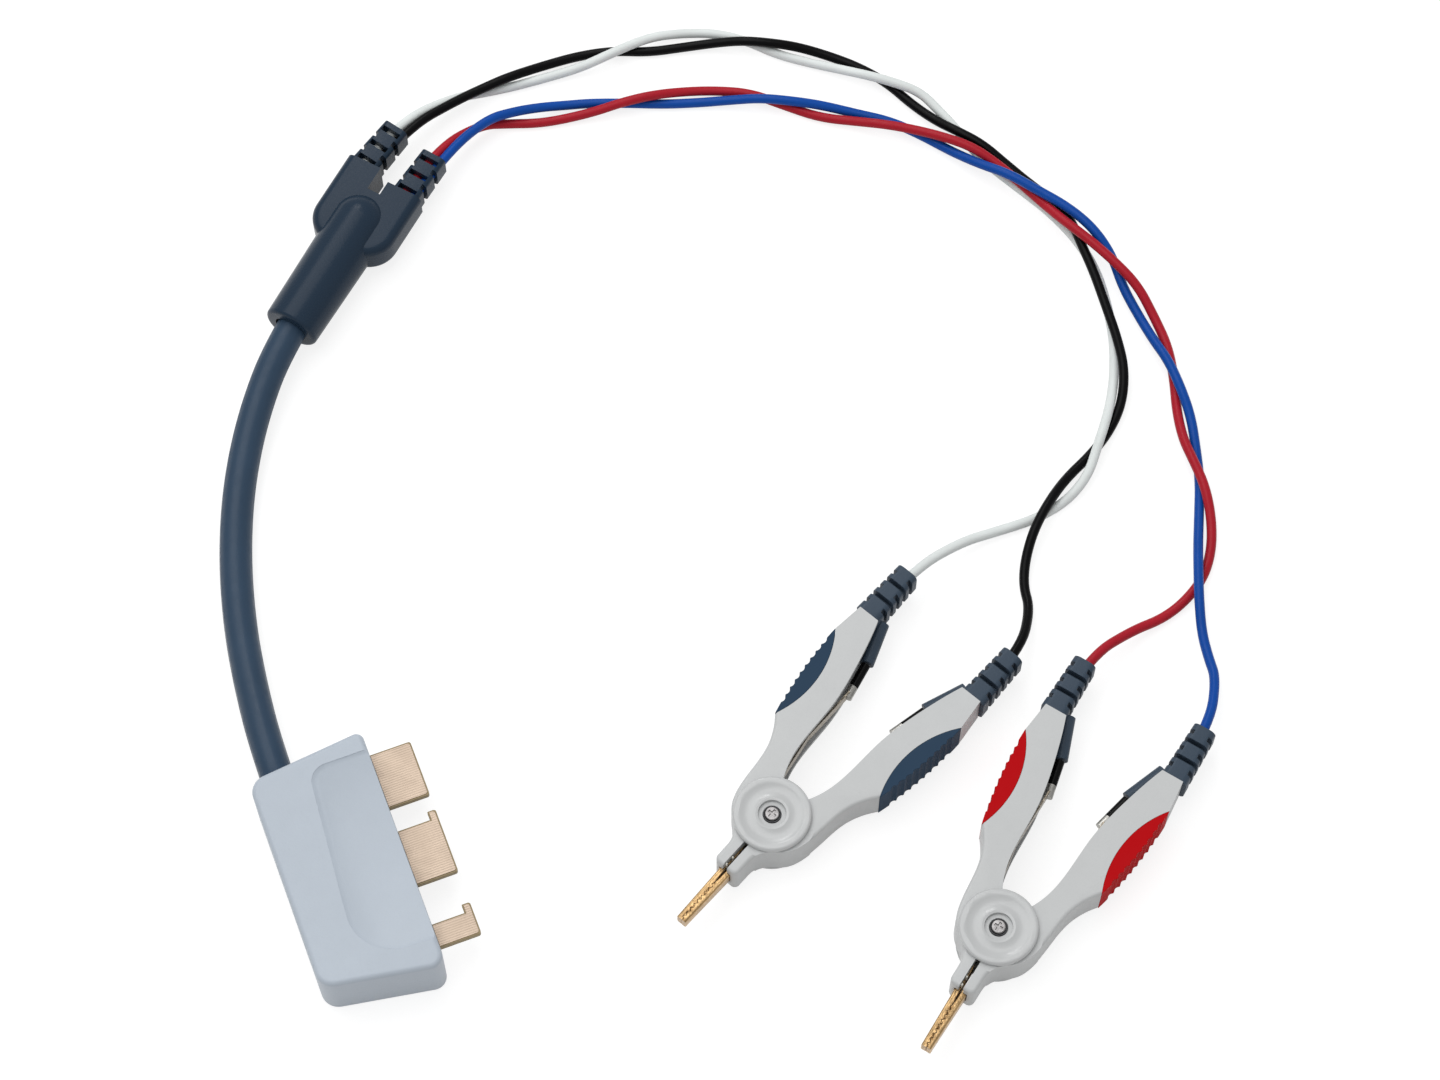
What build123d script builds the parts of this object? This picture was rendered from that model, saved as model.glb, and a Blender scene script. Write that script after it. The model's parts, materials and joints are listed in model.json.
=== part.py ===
from build123d import *
import math
import os

# Kelvin test lead: plug, main cable, splitter, two twisted pairs and two sprung kelvin clips.
# Millimetres. +Z is up, the whole lead lies on the plane Z = 0, +Y points away from the user.

# Where the rigid pieces lie on the table, and which way they point (degrees from +X)
PLUG_AT, PLUG_TURN = (-82.0, -43.7), -69.2
SPLITTER_AT, SPLITTER_TURN = (-103.0, 59.6), 61.5
GREY_CLIP_AT, GREY_CLIP_TURN = (8.4, -62.0), 49.0
RED_CLIP_AT, RED_CLIP_TURN = (57.2, -87.9), 58.0

# Plug housing, in its own frame: tab side along Y = 0, housing towards -Y, tabs towards +Y
PLUG_WIDTH = 27.0
PLUG_HEIGHT = 16.0
PLUG_NEAR_SLANT = 2.8
PLUG_FAR_SLANT = 4.8
PLUG_CORNER = 4.0
PLUG_NEAR_CORNER = 1.8
PLUG_FAR_CORNER = 3.0
PLUG_INNER_CORNER = 0.5
PLUG_EDGE = 1.2
PLUG_LOWER_EDGE = 0.6
PLUG_WALL = 2.0
PANEL_DEPTH = 0.6
PANEL_SLOPE = 1.0
PANEL_STEP = 0.5
PANEL_START = 4.8
PANEL_END_MARGIN = 6.8
PANEL_WIDTH = 14.1
PANEL_FLARE = 2.5
PANEL_ROUND = 4.2
PANEL_SHOULDER = 11.6
PANEL_BEND = (1.9, 4.6)
PANEL_TURN = 11.5

# Contact board and its three fingers
BOARD_THICK = 1.6
BOARD_COLLAR_GAP = 1.65
BOARD_START = 3.6
BOARD_END_MARGIN = 5.4
TAB_PITCH = 19.05
TAB_REACH = 9.7
FIRST_TAB = 10.35
LAST_TAB_MARGIN = 9.35
WIDE_TAB = 13.3
GUARD_TAB = 5.6
HOOK_WIDTH = 1.9
HOOK_LENGTH = 2.0
TAB_CORNER = 0.6
PAD_THICK = 0.15
PAD_BORDER = 0.3
SLOT_CLEARANCE = 0.1
RIB_WIDTH = 1.4
RIB_LENGTH = 4.0

# Plug fixings
BOSS_DIA = 5.0
BOSS_FROM_BACK = 7.4
BOSS_SPOTS = (26.0, 45.0)
PLUG_SCREW_DIA = 2.2
PLUG_SCREW_LENGTH = 10.0
PLUG_SCREW_CLEARANCE = 0.15
PLUG_HEAD_DIA = 4.0
PLUG_HEAD_THICK = 1.4
PLUG_HEAD_SUNK = 0.3

# Cable, leads and how they are held
CABLE_DIA = 7.5
LEAD_DIA = 2.3
ARC_SHARE = 0.45
CABLE_CLEARANCE = 0.15
CABLE_FROM_BACK = 6.5
SPLITTER_INSERTION = 11.0
FERRULE_WALL = 0.9
FERRULE_LENGTH = 5.0
FERRULE_SEAT = 0.05
COLLAR_WALL = 1.0

# Splitter, in its own frame: mouth at the origin, branches towards +X
SLEEVE_MOUTH_DIA = 13.2
SLEEVE_DIA = 14.0
SLEEVE_MOUTH_ROUND = 1.0
SLEEVE_LENGTH = 31.5
BLOCK_START = 23.0
BLOCK_HALF_WIDTH = 10.6
BLOCK_THICK = 8.8
BLOCK_SHOULDER = 7.2
BLOCK_EDGE = 2.2
BRANCH_GAP = 3.4
CROTCH_DEPTH = 6.2
LEFT_BRANCH_END = 45.0
RIGHT_BRANCH_END = 42.6
BRANCH_OFFSET = 6.3
RELIEF_LENGTH = 12.7
RELIEF_WIDTH = 6.9
RELIEF_THICK = 7.0
RELIEF_TAPER = 0.5
RELIEF_ROUND = 1.2
RELIEF_ROOT = 0.5
LEFT_RELIEF_BEND = -7.0
RIGHT_RELIEF_BEND = -3.0
RELIEF_SLOT = 1.4
RELIEF_FIRST_SLOT = 1.4
RELIEF_SLOT_PITCH = 2.3
RELIEF_FACE_DEPTH = 2.3
RELIEF_SIDE_DEPTH = 1.1
RELIEF_RAIL = 0.8
RELIEF_SLOTS = 5
LEAD_SPACING = 2.5
LEAD_CLEARANCE = 0.2
RELIEF_BORE_START = 1.3

# Clip arms, in the clip's own frame: pivot at the origin, jaws towards -X, handles towards +X
ARM_HEIGHT = 10.0
ARM_SKIN = 1.2
ARM_WALL = 1.3
SLOT_HALF = 0.6
NOSE_END = 15.8
NOSE_HALF = 3.1
NOSE_ROUND = 1.3
WAIST_AT = 11.6
ARM_SHOULDER = (11.8, 11.5)
ARM_SWELL = 1.0
ARM_RISE = 0.8
ARM_EDGE = 0.8
HANDLE_LENGTH = 50.6
HANDLE_OUTER = 17.4
HANDLE_INNER = 12.2
HANDLE_INNER_MID = 6.8
HANDLE_INNER_SAG = 0.5
HANDLE_ROOT, HANDLE_ROOT_DROP = 5.0, 1.5
HUB_NECK = 0.4
GRIP_START = 18.6
GRIP_END_SETBACK = 7.6
GRIP_START_HALF = 15.1
GRIP_END_HALF = 18.2
GRIP_HOLLOW = 3.3
GRIP_CROWN = 0.8
GRIP_SEAT = 0.05
GRIP_RIBS = 9
GRIP_RIB_PITCH = 2.1
GRIP_RIB_RADIUS = 1.25
GRIP_RIB_DEPTH = 0.4

# Pivot
DISC_DIA = 17.4
DISC_RISE = 1.4
DISC_RUNNING_GAP = 0.15
DISC_RIM = 1.5
DISC_ROUND = 0.65
DISC_DISH = 0.45
DISC_LIP = 0.6
DISC_LIP_DROP = 0.1
DISC_RECESS_DIA = 6.2
DISC_RECESS_DEPTH = 1.0
HUB_COVER = 1.5
HUB_RIM = 0.4
HUB_GAP = 0.3
HUB_STEP = 1.0
PLATE_GAP = 0.15
BUSH_DIA = 4.0
BUSH_FIT = 0.05
BUSH_LIP = 0.3
PIVOT_SCREW_DIA = 2.0
PIVOT_SCREW_FIT = 0.05
PIVOT_HEAD_DIA = 3.2
PIVOT_HEAD_FIT = 0.1
PIVOT_HEAD_THICK = 0.75
CROSS_WIDTH = 0.5
CROSS_DEPTH = 0.4
CROSS_SPAN = 0.62
NUT_ACROSS = 4.0
NUT_THICK = 0.8

# Torsion spring
SPRING_WIRE = 0.8
SPRING_BORE_CLEARANCE = 0.6
SPRING_TURNS = 3
SPRING_END_GAP = 0.05
SPRING_BENDS = 16
SPRING_LEG_END, SPRING_LEG_END_Y = 15.6, 11.0

# Jaws, each one folded sheet with its contact strip
JAW_REACH = 30.2
JAW_ROOT = 9.0
JAW_HALF_ROOT = 1.55
JAW_HALF_TIP = 1.2
JAW_HEIGHT_ROOT = 4.4
JAW_HEIGHT_TIP = 3.3
JAW_SHEET = 0.5
JAW_GAP = 0.16
JAW_ROOT_GAP = 0.9
JAW_FOLD = 0.45
JAW_SEAT = 0.05
TOOTH_START = 19.4
TOOTH_COUNT = 9
TOOTH_HEIGHT = 0.6
STRIP_THICK = 0.4
STRIP_HEIGHT = 2.8
STRIP_FROM_SPRING = 1.0
STRIP_FIRST_BEND = 7.2
STRIP_BEND = 1.5
STRIP_INSIDE = 0.2
STRIP_OVERLAP = 1.2
STRIP_OFFSET = 0.3

# Lead boots on the clips, with the wire end along the open side
BOOT_LENGTH = 14.1
BOOT_SEAT = 0.1
BOOT_OFFSET = 15.3
BOOT_WIDTH = 6.2
BOOT_THICK = 8.6
BOOT_TAPER = 0.8
BOOT_ROUND = 1.6
BOOT_NECK = 4.0
BOOT_BORE_START = 4.6
BOOT_SLOT = 1.15
BOOT_FIRST_SLOT = 2.7
BOOT_SLOT_PITCH = 2.3
BOOT_SLOTS = 5
BOOT_FACE_DEPTH = 2.6
BOOT_SIDE_DEPTH = 1.1
BOOT_EDGE_DEPTH = 0.5
TAIL_DIA = 3.4
TAIL_SETBACK, TAIL_START_Y = 8.1, 8.6
TAIL_PAST_END, TAIL_END_Y = 1.6, 12.2
CRIMP_DIA = 2.2
CRIMP_LENGTH = 3.0
CRIMP_SETBACK, CRIMP_START_Y = 17.2, 6.6
CORE_DIA = 1.2
SHRINK_WALL = 0.45
SHRINK_FIT = 0.05
TAIL_GAP = 0.3

# Routes of the cable and the leads, as they lie on the table
CABLE_ROUTE = [
    (-97.6, -60.4, 8.0), (-103.3, -45.4, 8.0), (-107.9, -29.5, 5.4), (-111.4, -13.9, 3.9),
    (-113.4, 3.2, 3.75), (-113.4, 20.7, 3.9), (-110.8, 38.2, 5.0), (-105.3, 55.3, 7.0),
    (-97.75, 69.25, 7.0),
]
WHITE_ROUTE = [
    (-87.5, 103.6, 7.0), (-79.4, 115.0, 7.0), (-68.0, 123.7, 2.9), (-60.6, 126.4, 1.15),
    (-54.0, 127.9, 1.15), (-45.5, 130.5, 1.15), (-37.0, 132.9, 1.9), (-30.9, 135.0, 3.65),
    (-25.0, 138.2, 3.65), (-19.0, 141.6, 2.2), (-11.5, 143.2, 1.15), (-4.0, 143.1, 1.15),
    (3.5, 141.0, 1.15), (10.6, 137.3, 1.15), (18.3, 134.9, 1.15), (26.6, 132.4, 1.9),
    (33.4, 129.6, 3.65), (39.6, 127.6, 3.65), (45.3, 125.8, 2.4), (49.6, 121.6, 1.15),
    (53.6, 116.6, 1.15), (57.6, 110.6, 1.15), (62.6, 105.2, 1.15), (69.0, 99.6, 1.15),
    (75.4, 93.8, 1.15), (81.4, 86.6, 1.15), (85.6, 78.6, 1.15), (87.9, 69.4, 1.15),
    (89.2, 60.2, 1.15), (89.0, 51.4, 1.15), (87.9, 44.2, 1.9), (86.3, 37.9, 3.65),
    (84.1, 31.3, 3.65), (81.7, 24.2, 2.3), (76.8, 18.4, 1.15), (70.3, 14.3, 1.15),
    (65.6, 12.4, 1.15), (59.4, 10.2, 1.5), (51.8, 6.9, 3.3), (41.3, -0.8, 6.4),
    (33.2, -10.1, 6.4),
]
BLACK_ROUTE = [
    (-85.5, 102.1, 7.0), (-77.3, 113.5, 7.0), (-66.4, 122.2, 4.5), (-60.0, 126.2, 3.65),
    (-54.0, 129.3, 3.65), (-46.0, 133.4, 1.9), (-37.5, 136.7, 1.15), (-29.0, 138.2, 1.15),
    (-20.4, 137.8, 1.15), (-11.8, 139.2, 1.15), (-3.8, 140.0, 1.9), (2.6, 139.5, 3.65),
    (9.2, 138.9, 3.65), (15.8, 138.6, 2.3), (23.0, 136.9, 1.15), (30.4, 133.7, 1.15),
    (37.4, 129.2, 1.15), (43.2, 123.2, 1.15), (48.9, 118.2, 1.9), (53.6, 114.5, 3.65),
    (59.6, 110.9, 3.65), (65.4, 106.2, 1.9), (71.1, 101.2, 1.15), (76.4, 96.2, 1.9),
    (79.9, 90.6, 3.65), (82.2, 84.0, 3.65), (84.9, 76.4, 3.65), (87.2, 68.0, 3.65),
    (89.6, 59.4, 3.65), (91.1, 51.0, 3.65), (90.4, 43.2, 1.9), (87.4, 36.4, 1.15),
    (82.8, 30.2, 1.15), (76.8, 24.0, 1.5), (72.6, 17.4, 3.65), (68.8, 10.4, 3.65),
    (66.6, 3.4, 1.9), (66.0, -3.0, 1.15), (67.3, -9.2, 2.2), (64.4, -20.9, 6.4),
    (56.3, -30.2, 6.4),
]
RED_ROUTE = [
    (-77.7, 95.4, 7.0), (-70.4, 107.4, 7.0), (-60.6, 116.8, 2.5), (-53.6, 117.9, 1.15),
    (-47.0, 118.0, 1.15), (-40.8, 119.1, 1.15), (-33.0, 120.8, 1.9), (-26.3, 122.4, 3.65),
    (-19.4, 124.3, 3.65), (-12.2, 126.3, 1.9), (-4.2, 127.1, 1.15), (4.4, 126.4, 1.15),
    (12.6, 122.9, 1.15), (21.0, 119.6, 1.15), (29.6, 118.1, 1.9), (37.0, 116.2, 3.65),
    (44.0, 114.7, 3.65), (50.8, 112.3, 4.4), (57.4, 109.2, 5.0), (63.2, 105.3, 3.7),
    (68.2, 100.4, 3.65), (73.0, 95.2, 3.9), (77.8, 89.2, 5.9), (84.0, 83.6, 6.2),
    (89.8, 77.7, 6.1), (95.0, 72.2, 4.7), (98.8, 65.3, 2.0), (101.8, 57.9, 1.15),
    (102.8, 49.6, 1.15), (103.0, 41.3, 1.15), (104.0, 33.6, 2.1), (106.0, 27.2, 3.65),
    (108.3, 20.8, 3.65), (109.6, 13.6, 1.9), (109.3, 5.8, 1.15), (106.9, -1.4, 1.15),
    (102.2, -7.2, 1.15), (97.0, -11.2, 1.15), (90.0, -14.8, 3.0), (80.1, -22.3, 6.4),
    (73.6, -32.8, 6.4),
]
BLUE_ROUTE = [
    (-75.6, 94.1, 7.0), (-68.3, 106.1, 7.0), (-59.0, 116.6, 5.3), (-52.2, 119.8, 3.65),
    (-46.0, 121.6, 2.6), (-40.0, 122.9, 1.3), (-34.0, 123.6, 1.15), (-25.4, 123.6, 1.15),
    (-16.6, 123.3, 1.15), (-8.2, 123.7, 1.15), (-0.2, 124.0, 1.9), (6.8, 123.5, 3.65),
    (14.4, 122.7, 3.65), (21.6, 122.3, 2.3), (29.8, 120.7, 1.15), (38.0, 118.6, 1.15),
    (45.6, 114.6, 1.15), (52.4, 109.8, 1.9), (59.0, 105.0, 4.3), (65.4, 101.4, 6.2),
    (72.4, 96.8, 6.2), (79.0, 92.6, 6.1), (84.9, 87.0, 6.0), (89.3, 80.8, 3.9),
    (91.6, 73.3, 2.4), (95.0, 66.4, 1.4), (98.2, 59.4, 2.2), (101.3, 53.2, 3.65),
    (103.8, 46.4, 3.65), (106.1, 39.5, 2.1), (107.0, 31.4, 1.15), (107.5, 23.4, 1.15),
    (106.9, 15.2, 1.15), (106.2, 7.4, 1.9), (105.7, 0.4, 3.65), (105.5, -7.0, 3.65),
    (105.9, -14.8, 1.9), (107.2, -21.4, 2.1), (108.4, -26.4, 3.1), (106.1, -38.5, 6.4),
    (99.5, -49.0, 6.4),
]

# Two edges closer than this meet
SEAM = 0.001

# Heights and radii that follow
PLUG_LENGTH = FIRST_TAB + 2 * TAB_PITCH + LAST_TAB_MARGIN
PLUG_MID = PLUG_HEIGHT / 2
BOARD_TOP = PLUG_MID + BOARD_THICK / 2
BOARD_UNDER = PLUG_MID - BOARD_THICK / 2
CABLE_BORE = CABLE_DIA / 2 + CABLE_CLEARANCE
FERRULE_BORE = CABLE_BORE + FERRULE_WALL + FERRULE_SEAT
CABLE_SIDE = CABLE_FROM_BACK - PLUG_WIDTH
BOARD_BACK = CABLE_SIDE + FERRULE_BORE + COLLAR_WALL + BOARD_COLLAR_GAP
LEAD_BORE = LEAD_DIA / 2 + LEAD_CLEARANCE
SPLITTER_MID = SLEEVE_DIA / 2
ARM_FLOOR = DISC_RISE
ARM_TOP = ARM_FLOOR + ARM_HEIGHT
CLIP_MID = ARM_FLOOR + ARM_HEIGHT / 2
CLIP_TOP = ARM_TOP + DISC_RISE
GRIP_END = HANDLE_LENGTH - GRIP_END_SETBACK
TAIL_START, TAIL_END = HANDLE_LENGTH - TAIL_SETBACK, HANDLE_LENGTH + TAIL_PAST_END
CRIMP_START = HANDLE_LENGTH - CRIMP_SETBACK
DISC_R = DISC_DIA / 2
HUB_R = DISC_R - HUB_COVER
HUB_HOLE = HUB_R + HUB_GAP
ARM_RIM = DISC_R + HUB_RIM
BUSH_R = BUSH_DIA / 2
LOWER_PLATE = ARM_FLOOR + ARM_SKIN + PLATE_GAP
UPPER_PLATE = ARM_TOP - ARM_SKIN - PLATE_GAP
SPRING_R = BUSH_R + SPRING_BORE_CLEARANCE + SPRING_WIRE / 2
TOOTH_PITCH = (JAW_REACH - TOOTH_START) / TOOTH_COUNT


def place(at, turn):
    return Location((at[0], at[1], 0), (0, 0, turn))


def slab(face, low, high):
    # A face drawn on the XY plane, as a plate between two heights
    return Pos(0, 0, low) * extrude(face, high - low, dir=(0, 0, 1))


def rod(radius, low, high, x=0.0, y=0.0):
    return slab(Pos(x, y) * Circle(radius), low, high)


def bar(length, width, thick, x=0.0, y=0.0, z=0.0):
    return Pos(x, y, z) * Box(length, width, thick)


def rod_along_x(radius, start, end, y=0.0, z=0.0, end_radius=None):
    upright = (Align.CENTER, Align.CENTER, Align.MIN)
    if end_radius is None:
        solid = Cylinder(radius, end - start, align=upright)
    else:
        solid = Cone(radius, end_radius, end - start, align=upright)
    return Pos(start, y, z) * Rot(0, 90, 0) * solid


def rod_between(start, end, radius, z=CLIP_MID):
    # A level round bar between two points seen from above
    along = end - start
    angle = math.degrees(math.atan2(along.Y, along.X))
    return Pos(start.X, start.Y, z) * Rot(0, 0, angle) * rod_along_x(radius, 0, along.length)


def rounded_bar(length, width, thick, corner, taper):
    base = Plane.YZ * RectangleRounded(width, thick, corner)
    tip = Plane.YZ.offset(length) * RectangleRounded(width - taper, thick - taper, corner)
    return loft([base, tip])


def tube(points, diameter):
    # A round wire: straight runs joined by arcs, each as large as its two runs allow
    radii = []
    for before, here, after in zip(points, points[1:], points[2:]):
        turn = math.radians((here - before).get_angle(after - here))
        shorter = min((here - before).length, (after - here).length)
        radii.append(ARC_SHARE * shorter / math.tan(turn / 2))
    path = FilletPolyline(*points, radius=radii)
    section = Plane(origin=points[0], z_dir=points[1] - points[0]) * Circle(diameter / 2)
    return sweep(section, path=path), path.length, radii


def cross_slot(span, x, y, z):
    first = bar(span, CROSS_WIDTH, 2 * CROSS_DEPTH, x, y, z)
    return first + bar(CROSS_WIDTH, span, 2 * CROSS_DEPTH, x, y, z)


# Plug

def plug_outline(inset=0.0):
    front, back = -inset, inset - PLUG_WIDTH
    corners = [
        ((inset, front), PLUG_NEAR_CORNER),
        ((PLUG_LENGTH - inset, front), PLUG_FAR_CORNER),
        ((PLUG_LENGTH - PLUG_FAR_SLANT - inset, back), PLUG_CORNER),
        ((PLUG_NEAR_SLANT + inset, back), PLUG_CORNER),
    ]
    face = Polygon(*[spot for spot, radius in corners], align=None)
    for spot, radius in corners:
        vertex = face.vertices().sort_by_distance((*spot, 0))[0]
        face = fillet(vertex, max(radius - inset, PLUG_INNER_CORNER))
    return face


def panel_outline():
    # Shallow step in the top face, open at the tabs' side and rounded at the back
    near, back, front = PANEL_START, -PANEL_WIDTH, 2 * PANEL_SLOPE
    far = PLUG_LENGTH - PANEL_END_MARGIN
    flare = back - PANEL_FLARE
    back_start, shoulder = Vector(near + PANEL_ROUND, back), Vector(far - PANEL_SHOULDER, flare)
    bend, turn = (far - PANEL_BEND[0], flare + PANEL_BEND[1]), (far, flare + PANEL_TURN)
    edge = [
        Line((near, front), (near, back + PANEL_ROUND)),
        TangentArc((near, back + PANEL_ROUND), back_start, tangent=(0, -1)),
        Line(back_start, shoulder),
        Spline(shoulder, bend, turn, tangents=[shoulder - back_start, (0, 1)]),
        Line(turn, (far, front)),
        Line((far, front), (near, front)),
    ]
    return make_face(edge)


def panel_cut():
    # Its walls slope, so the step looks soft
    cut = slab(panel_outline(), PLUG_HEIGHT - PANEL_DEPTH, PLUG_HEIGHT + 1)
    floor = cut.faces().sort_by(Axis.Z)[0]
    return chamfer(floor.edges(), PANEL_SLOPE, PANEL_STEP, reference=floor)


def tabs():
    # Each finger's number, its centre along the plug and its width
    widths = (WIDE_TAB, WIDE_TAB, GUARD_TAB)
    return [(number, FIRST_TAB + number * TAB_PITCH, width) for number, width in enumerate(widths)]


def tab_outline(number, along, width, border=0.0):
    reach = TAB_REACH - border
    root = -PLUG_WALL
    face = Pos(along, (reach + root) / 2) * Rectangle(width - 2 * border, reach - root)
    if number > 0:
        hook_end = along - width / 2 - HOOK_LENGTH + border
        hook = Rectangle(along - hook_end, HOOK_WIDTH - 2 * border)
        face = face + Pos((hook_end + along) / 2, TAB_REACH - HOOK_WIDTH / 2) * hook
    outer = face.vertices().filter_by_position(Axis.Y, reach - 0.01, reach + 0.01)
    return fillet(outer, TAB_CORNER)


def contact_board():
    length = PLUG_LENGTH - BOARD_START - BOARD_END_MARGIN
    depth = -PLUG_WALL - BOARD_BACK
    middle = (BOARD_START + length / 2, BOARD_BACK + depth / 2)
    face = Pos(*middle) * Rectangle(length, depth)
    for tab in tabs():
        face = face + tab_outline(*tab)
    return slab(face, BOARD_UNDER, BOARD_TOP)


def contact_pads(tab):
    # A plated pad on each side of the finger, from just outside the housing to its tip
    bare = Pos(0, TAB_REACH / 2 + PAD_BORDER) * Rectangle(3 * PLUG_LENGTH, TAB_REACH)
    face = tab_outline(*tab, border=PAD_BORDER) & bare
    upper = slab(face, BOARD_TOP, BOARD_TOP + PAD_THICK)
    return upper + slab(face, BOARD_UNDER - PAD_THICK, BOARD_UNDER)


def plug_bore(radius, start, end):
    return rod_along_x(radius, start, end, y=CABLE_SIDE, z=PLUG_MID)


def ferrule_span():
    # Inside the slanted end wall, where the cable's axis meets it
    start = -PLUG_NEAR_SLANT * CABLE_SIDE / PLUG_WIDTH + PLUG_WALL
    return start, start + FERRULE_LENGTH


def boss_spots():
    return [(x, BOSS_FROM_BACK - PLUG_WIDTH) for x in BOSS_SPOTS]


def plug_inner_heights(upper):
    # The half's hollow, from the parting plane to its floor or ceiling
    if upper:
        return PLUG_MID, PLUG_HEIGHT - PANEL_DEPTH - PLUG_WALL
    return PLUG_WALL, PLUG_MID


def plug_half(upper):
    low, high = (PLUG_MID, PLUG_HEIGHT) if upper else (0.0, PLUG_MID)
    body = slab(plug_outline(), low, high)
    rim = body.faces().sort_by(Axis.Z)[-1 if upper else 0]
    body = fillet(rim.edges(), PLUG_EDGE if upper else PLUG_LOWER_EDGE)
    if upper:
        body = body - panel_cut()
    inner_low, inner_high = plug_inner_heights(upper)
    hollow = slab(plug_outline(PLUG_WALL), inner_low, inner_high)
    body = body - hollow
    # Bosses, ribs that clamp the board, and the collar round the cable's ferrule
    for x, y in boss_spots():
        body = body + rod(BOSS_DIA / 2, inner_low, inner_high, x, y)
    rib_low, rib_high = (BOARD_TOP, inner_high) if upper else (inner_low, BOARD_UNDER)
    for number, along, width in tabs():
        rib_x = min(along, PLUG_LENGTH - BOARD_END_MARGIN - RIB_WIDTH)
        rib = Pos(rib_x, BOARD_BACK + RIB_LENGTH / 2) * Rectangle(RIB_WIDTH, RIB_LENGTH)
        body = body + slab(rib, rib_low, rib_high)
    start, end = ferrule_span()
    body = body + (plug_bore(FERRULE_BORE + COLLAR_WALL, start - PLUG_WALL / 2, end) & hollow)
    body = body - plug_bore(FERRULE_BORE, start, end + 1)
    body = body - plug_bore(CABLE_BORE, -PLUG_WIDTH, end)
    for number, along, width in tabs():
        slot_width = width + 2 * SLOT_CLEARANCE
        slot_height = BOARD_THICK + 2 * SLOT_CLEARANCE
        body = body - bar(slot_width, 3 * PLUG_WALL, slot_height, along, -PLUG_WALL, PLUG_MID)
    return body


def screw_heights():
    seat = PLUG_HEAD_SUNK + PLUG_HEAD_THICK
    return PLUG_HEAD_SUNK, seat, seat + PLUG_SCREW_LENGTH


def plug_top_shell():
    body = plug_half(True)
    tip = screw_heights()[2]
    for x, y in boss_spots():
        body = body - rod(PLUG_SCREW_DIA / 2, PLUG_MID, tip, x, y)
    return body


def plug_bottom_shell():
    body = plug_half(False)
    seat = screw_heights()[1]
    for x, y in boss_spots():
        body = body - rod(PLUG_SCREW_DIA / 2 + PLUG_SCREW_CLEARANCE, 0, PLUG_MID, x, y)
        body = body - rod(PLUG_HEAD_DIA / 2 + PLUG_SCREW_CLEARANCE, 0, seat, x, y)
    return body


def plug_screws():
    face, seat, tip = screw_heights()
    screws = []
    for x, y in boss_spots():
        screw = rod(PLUG_HEAD_DIA / 2, face, seat, x, y) + rod(PLUG_SCREW_DIA / 2, seat, tip, x, y)
        screws.append(screw - cross_slot(CROSS_SPAN * PLUG_HEAD_DIA, x, y, face))
    return Compound(children=screws)


def plug_ferrule():
    start, end = ferrule_span()
    start = start + FERRULE_SEAT
    return plug_bore(CABLE_BORE + FERRULE_WALL, start, end) - plug_bore(CABLE_BORE, start, end)


# Splitter

def branch_outline(side, end):
    # One half of the flat block: shoulder from the sleeve, straight branch, square end
    inner, crotch = BRANCH_GAP / 2, LEFT_BRANCH_END - CROTCH_DEPTH
    root, shoulder = BLOCK_HALF_WIDTH - BLOCK_SHOULDER, BLOCK_START + BLOCK_SHOULDER
    edge = [
        Line((BLOCK_START, 0), (BLOCK_START, root)),
        TangentArc((BLOCK_START, root), (shoulder, BLOCK_HALF_WIDTH), tangent=(0, 1)),
        Line((shoulder, BLOCK_HALF_WIDTH), (end, BLOCK_HALF_WIDTH)),
        Line((end, BLOCK_HALF_WIDTH), (end, inner)),
        Line((end, inner), (crotch, inner)),
        Line((crotch, inner), (crotch, 0)),
        Line((crotch, 0), (BLOCK_START, 0)),
    ]
    face = make_face(edge)
    return face if side > 0 else mirror(face, Plane.XZ)


def relief_place(side):
    end, bend = (LEFT_BRANCH_END, LEFT_RELIEF_BEND)
    if side < 0:
        end, bend = (RIGHT_BRANCH_END, RIGHT_RELIEF_BEND)
    return Location((end - RELIEF_ROOT, side * BRANCH_OFFSET, SPLITTER_MID), (0, 0, bend))


def slotted_bar(length, width, thick, corner, taper, slots, face_cut, side_cut):
    # A tapering bar whose cross slots take turns: from its two faces, then from its two sides
    body = rounded_bar(length, width, thick, corner, taper)
    for number, x in enumerate(slots):
        narrowing = taper * x / length
        for sign in (-1, 1):
            over_face = Pos(x, 0, sign * (thick - narrowing) / 2)
            over_side = Pos(x, sign * (width - narrowing) / 2, 0)
            for cut in face_cut[number % 2]:
                body = body - over_face * cut
            for cut in side_cut[number % 2]:
                body = body - over_side * cut
    return body


def slotted_relief():
    # Windows with a rail at each end, and notches that bare the leads between them
    slots = [RELIEF_FIRST_SLOT + number * RELIEF_SLOT_PITCH for number in range(RELIEF_SLOTS)]
    window = bar(RELIEF_SLOT, RELIEF_WIDTH - RELIEF_TAPER - 2 * RELIEF_RAIL, 2 * RELIEF_FACE_DEPTH)
    notch = bar(RELIEF_SLOT, 2 * RELIEF_SIDE_DEPTH, RELIEF_THICK)
    return slotted_bar(RELIEF_LENGTH, RELIEF_WIDTH, RELIEF_THICK, RELIEF_ROUND, RELIEF_TAPER, slots,
                       face_cut=([window], []), side_cut=([], [notch]))


def lead_pair_bore():
    face = Plane.YZ.offset(RELIEF_BORE_START) * SlotCenterToCenter(LEAD_SPACING, 2 * LEAD_BORE)
    return extrude(face, RELIEF_LENGTH, dir=(1, 0, 0))


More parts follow.
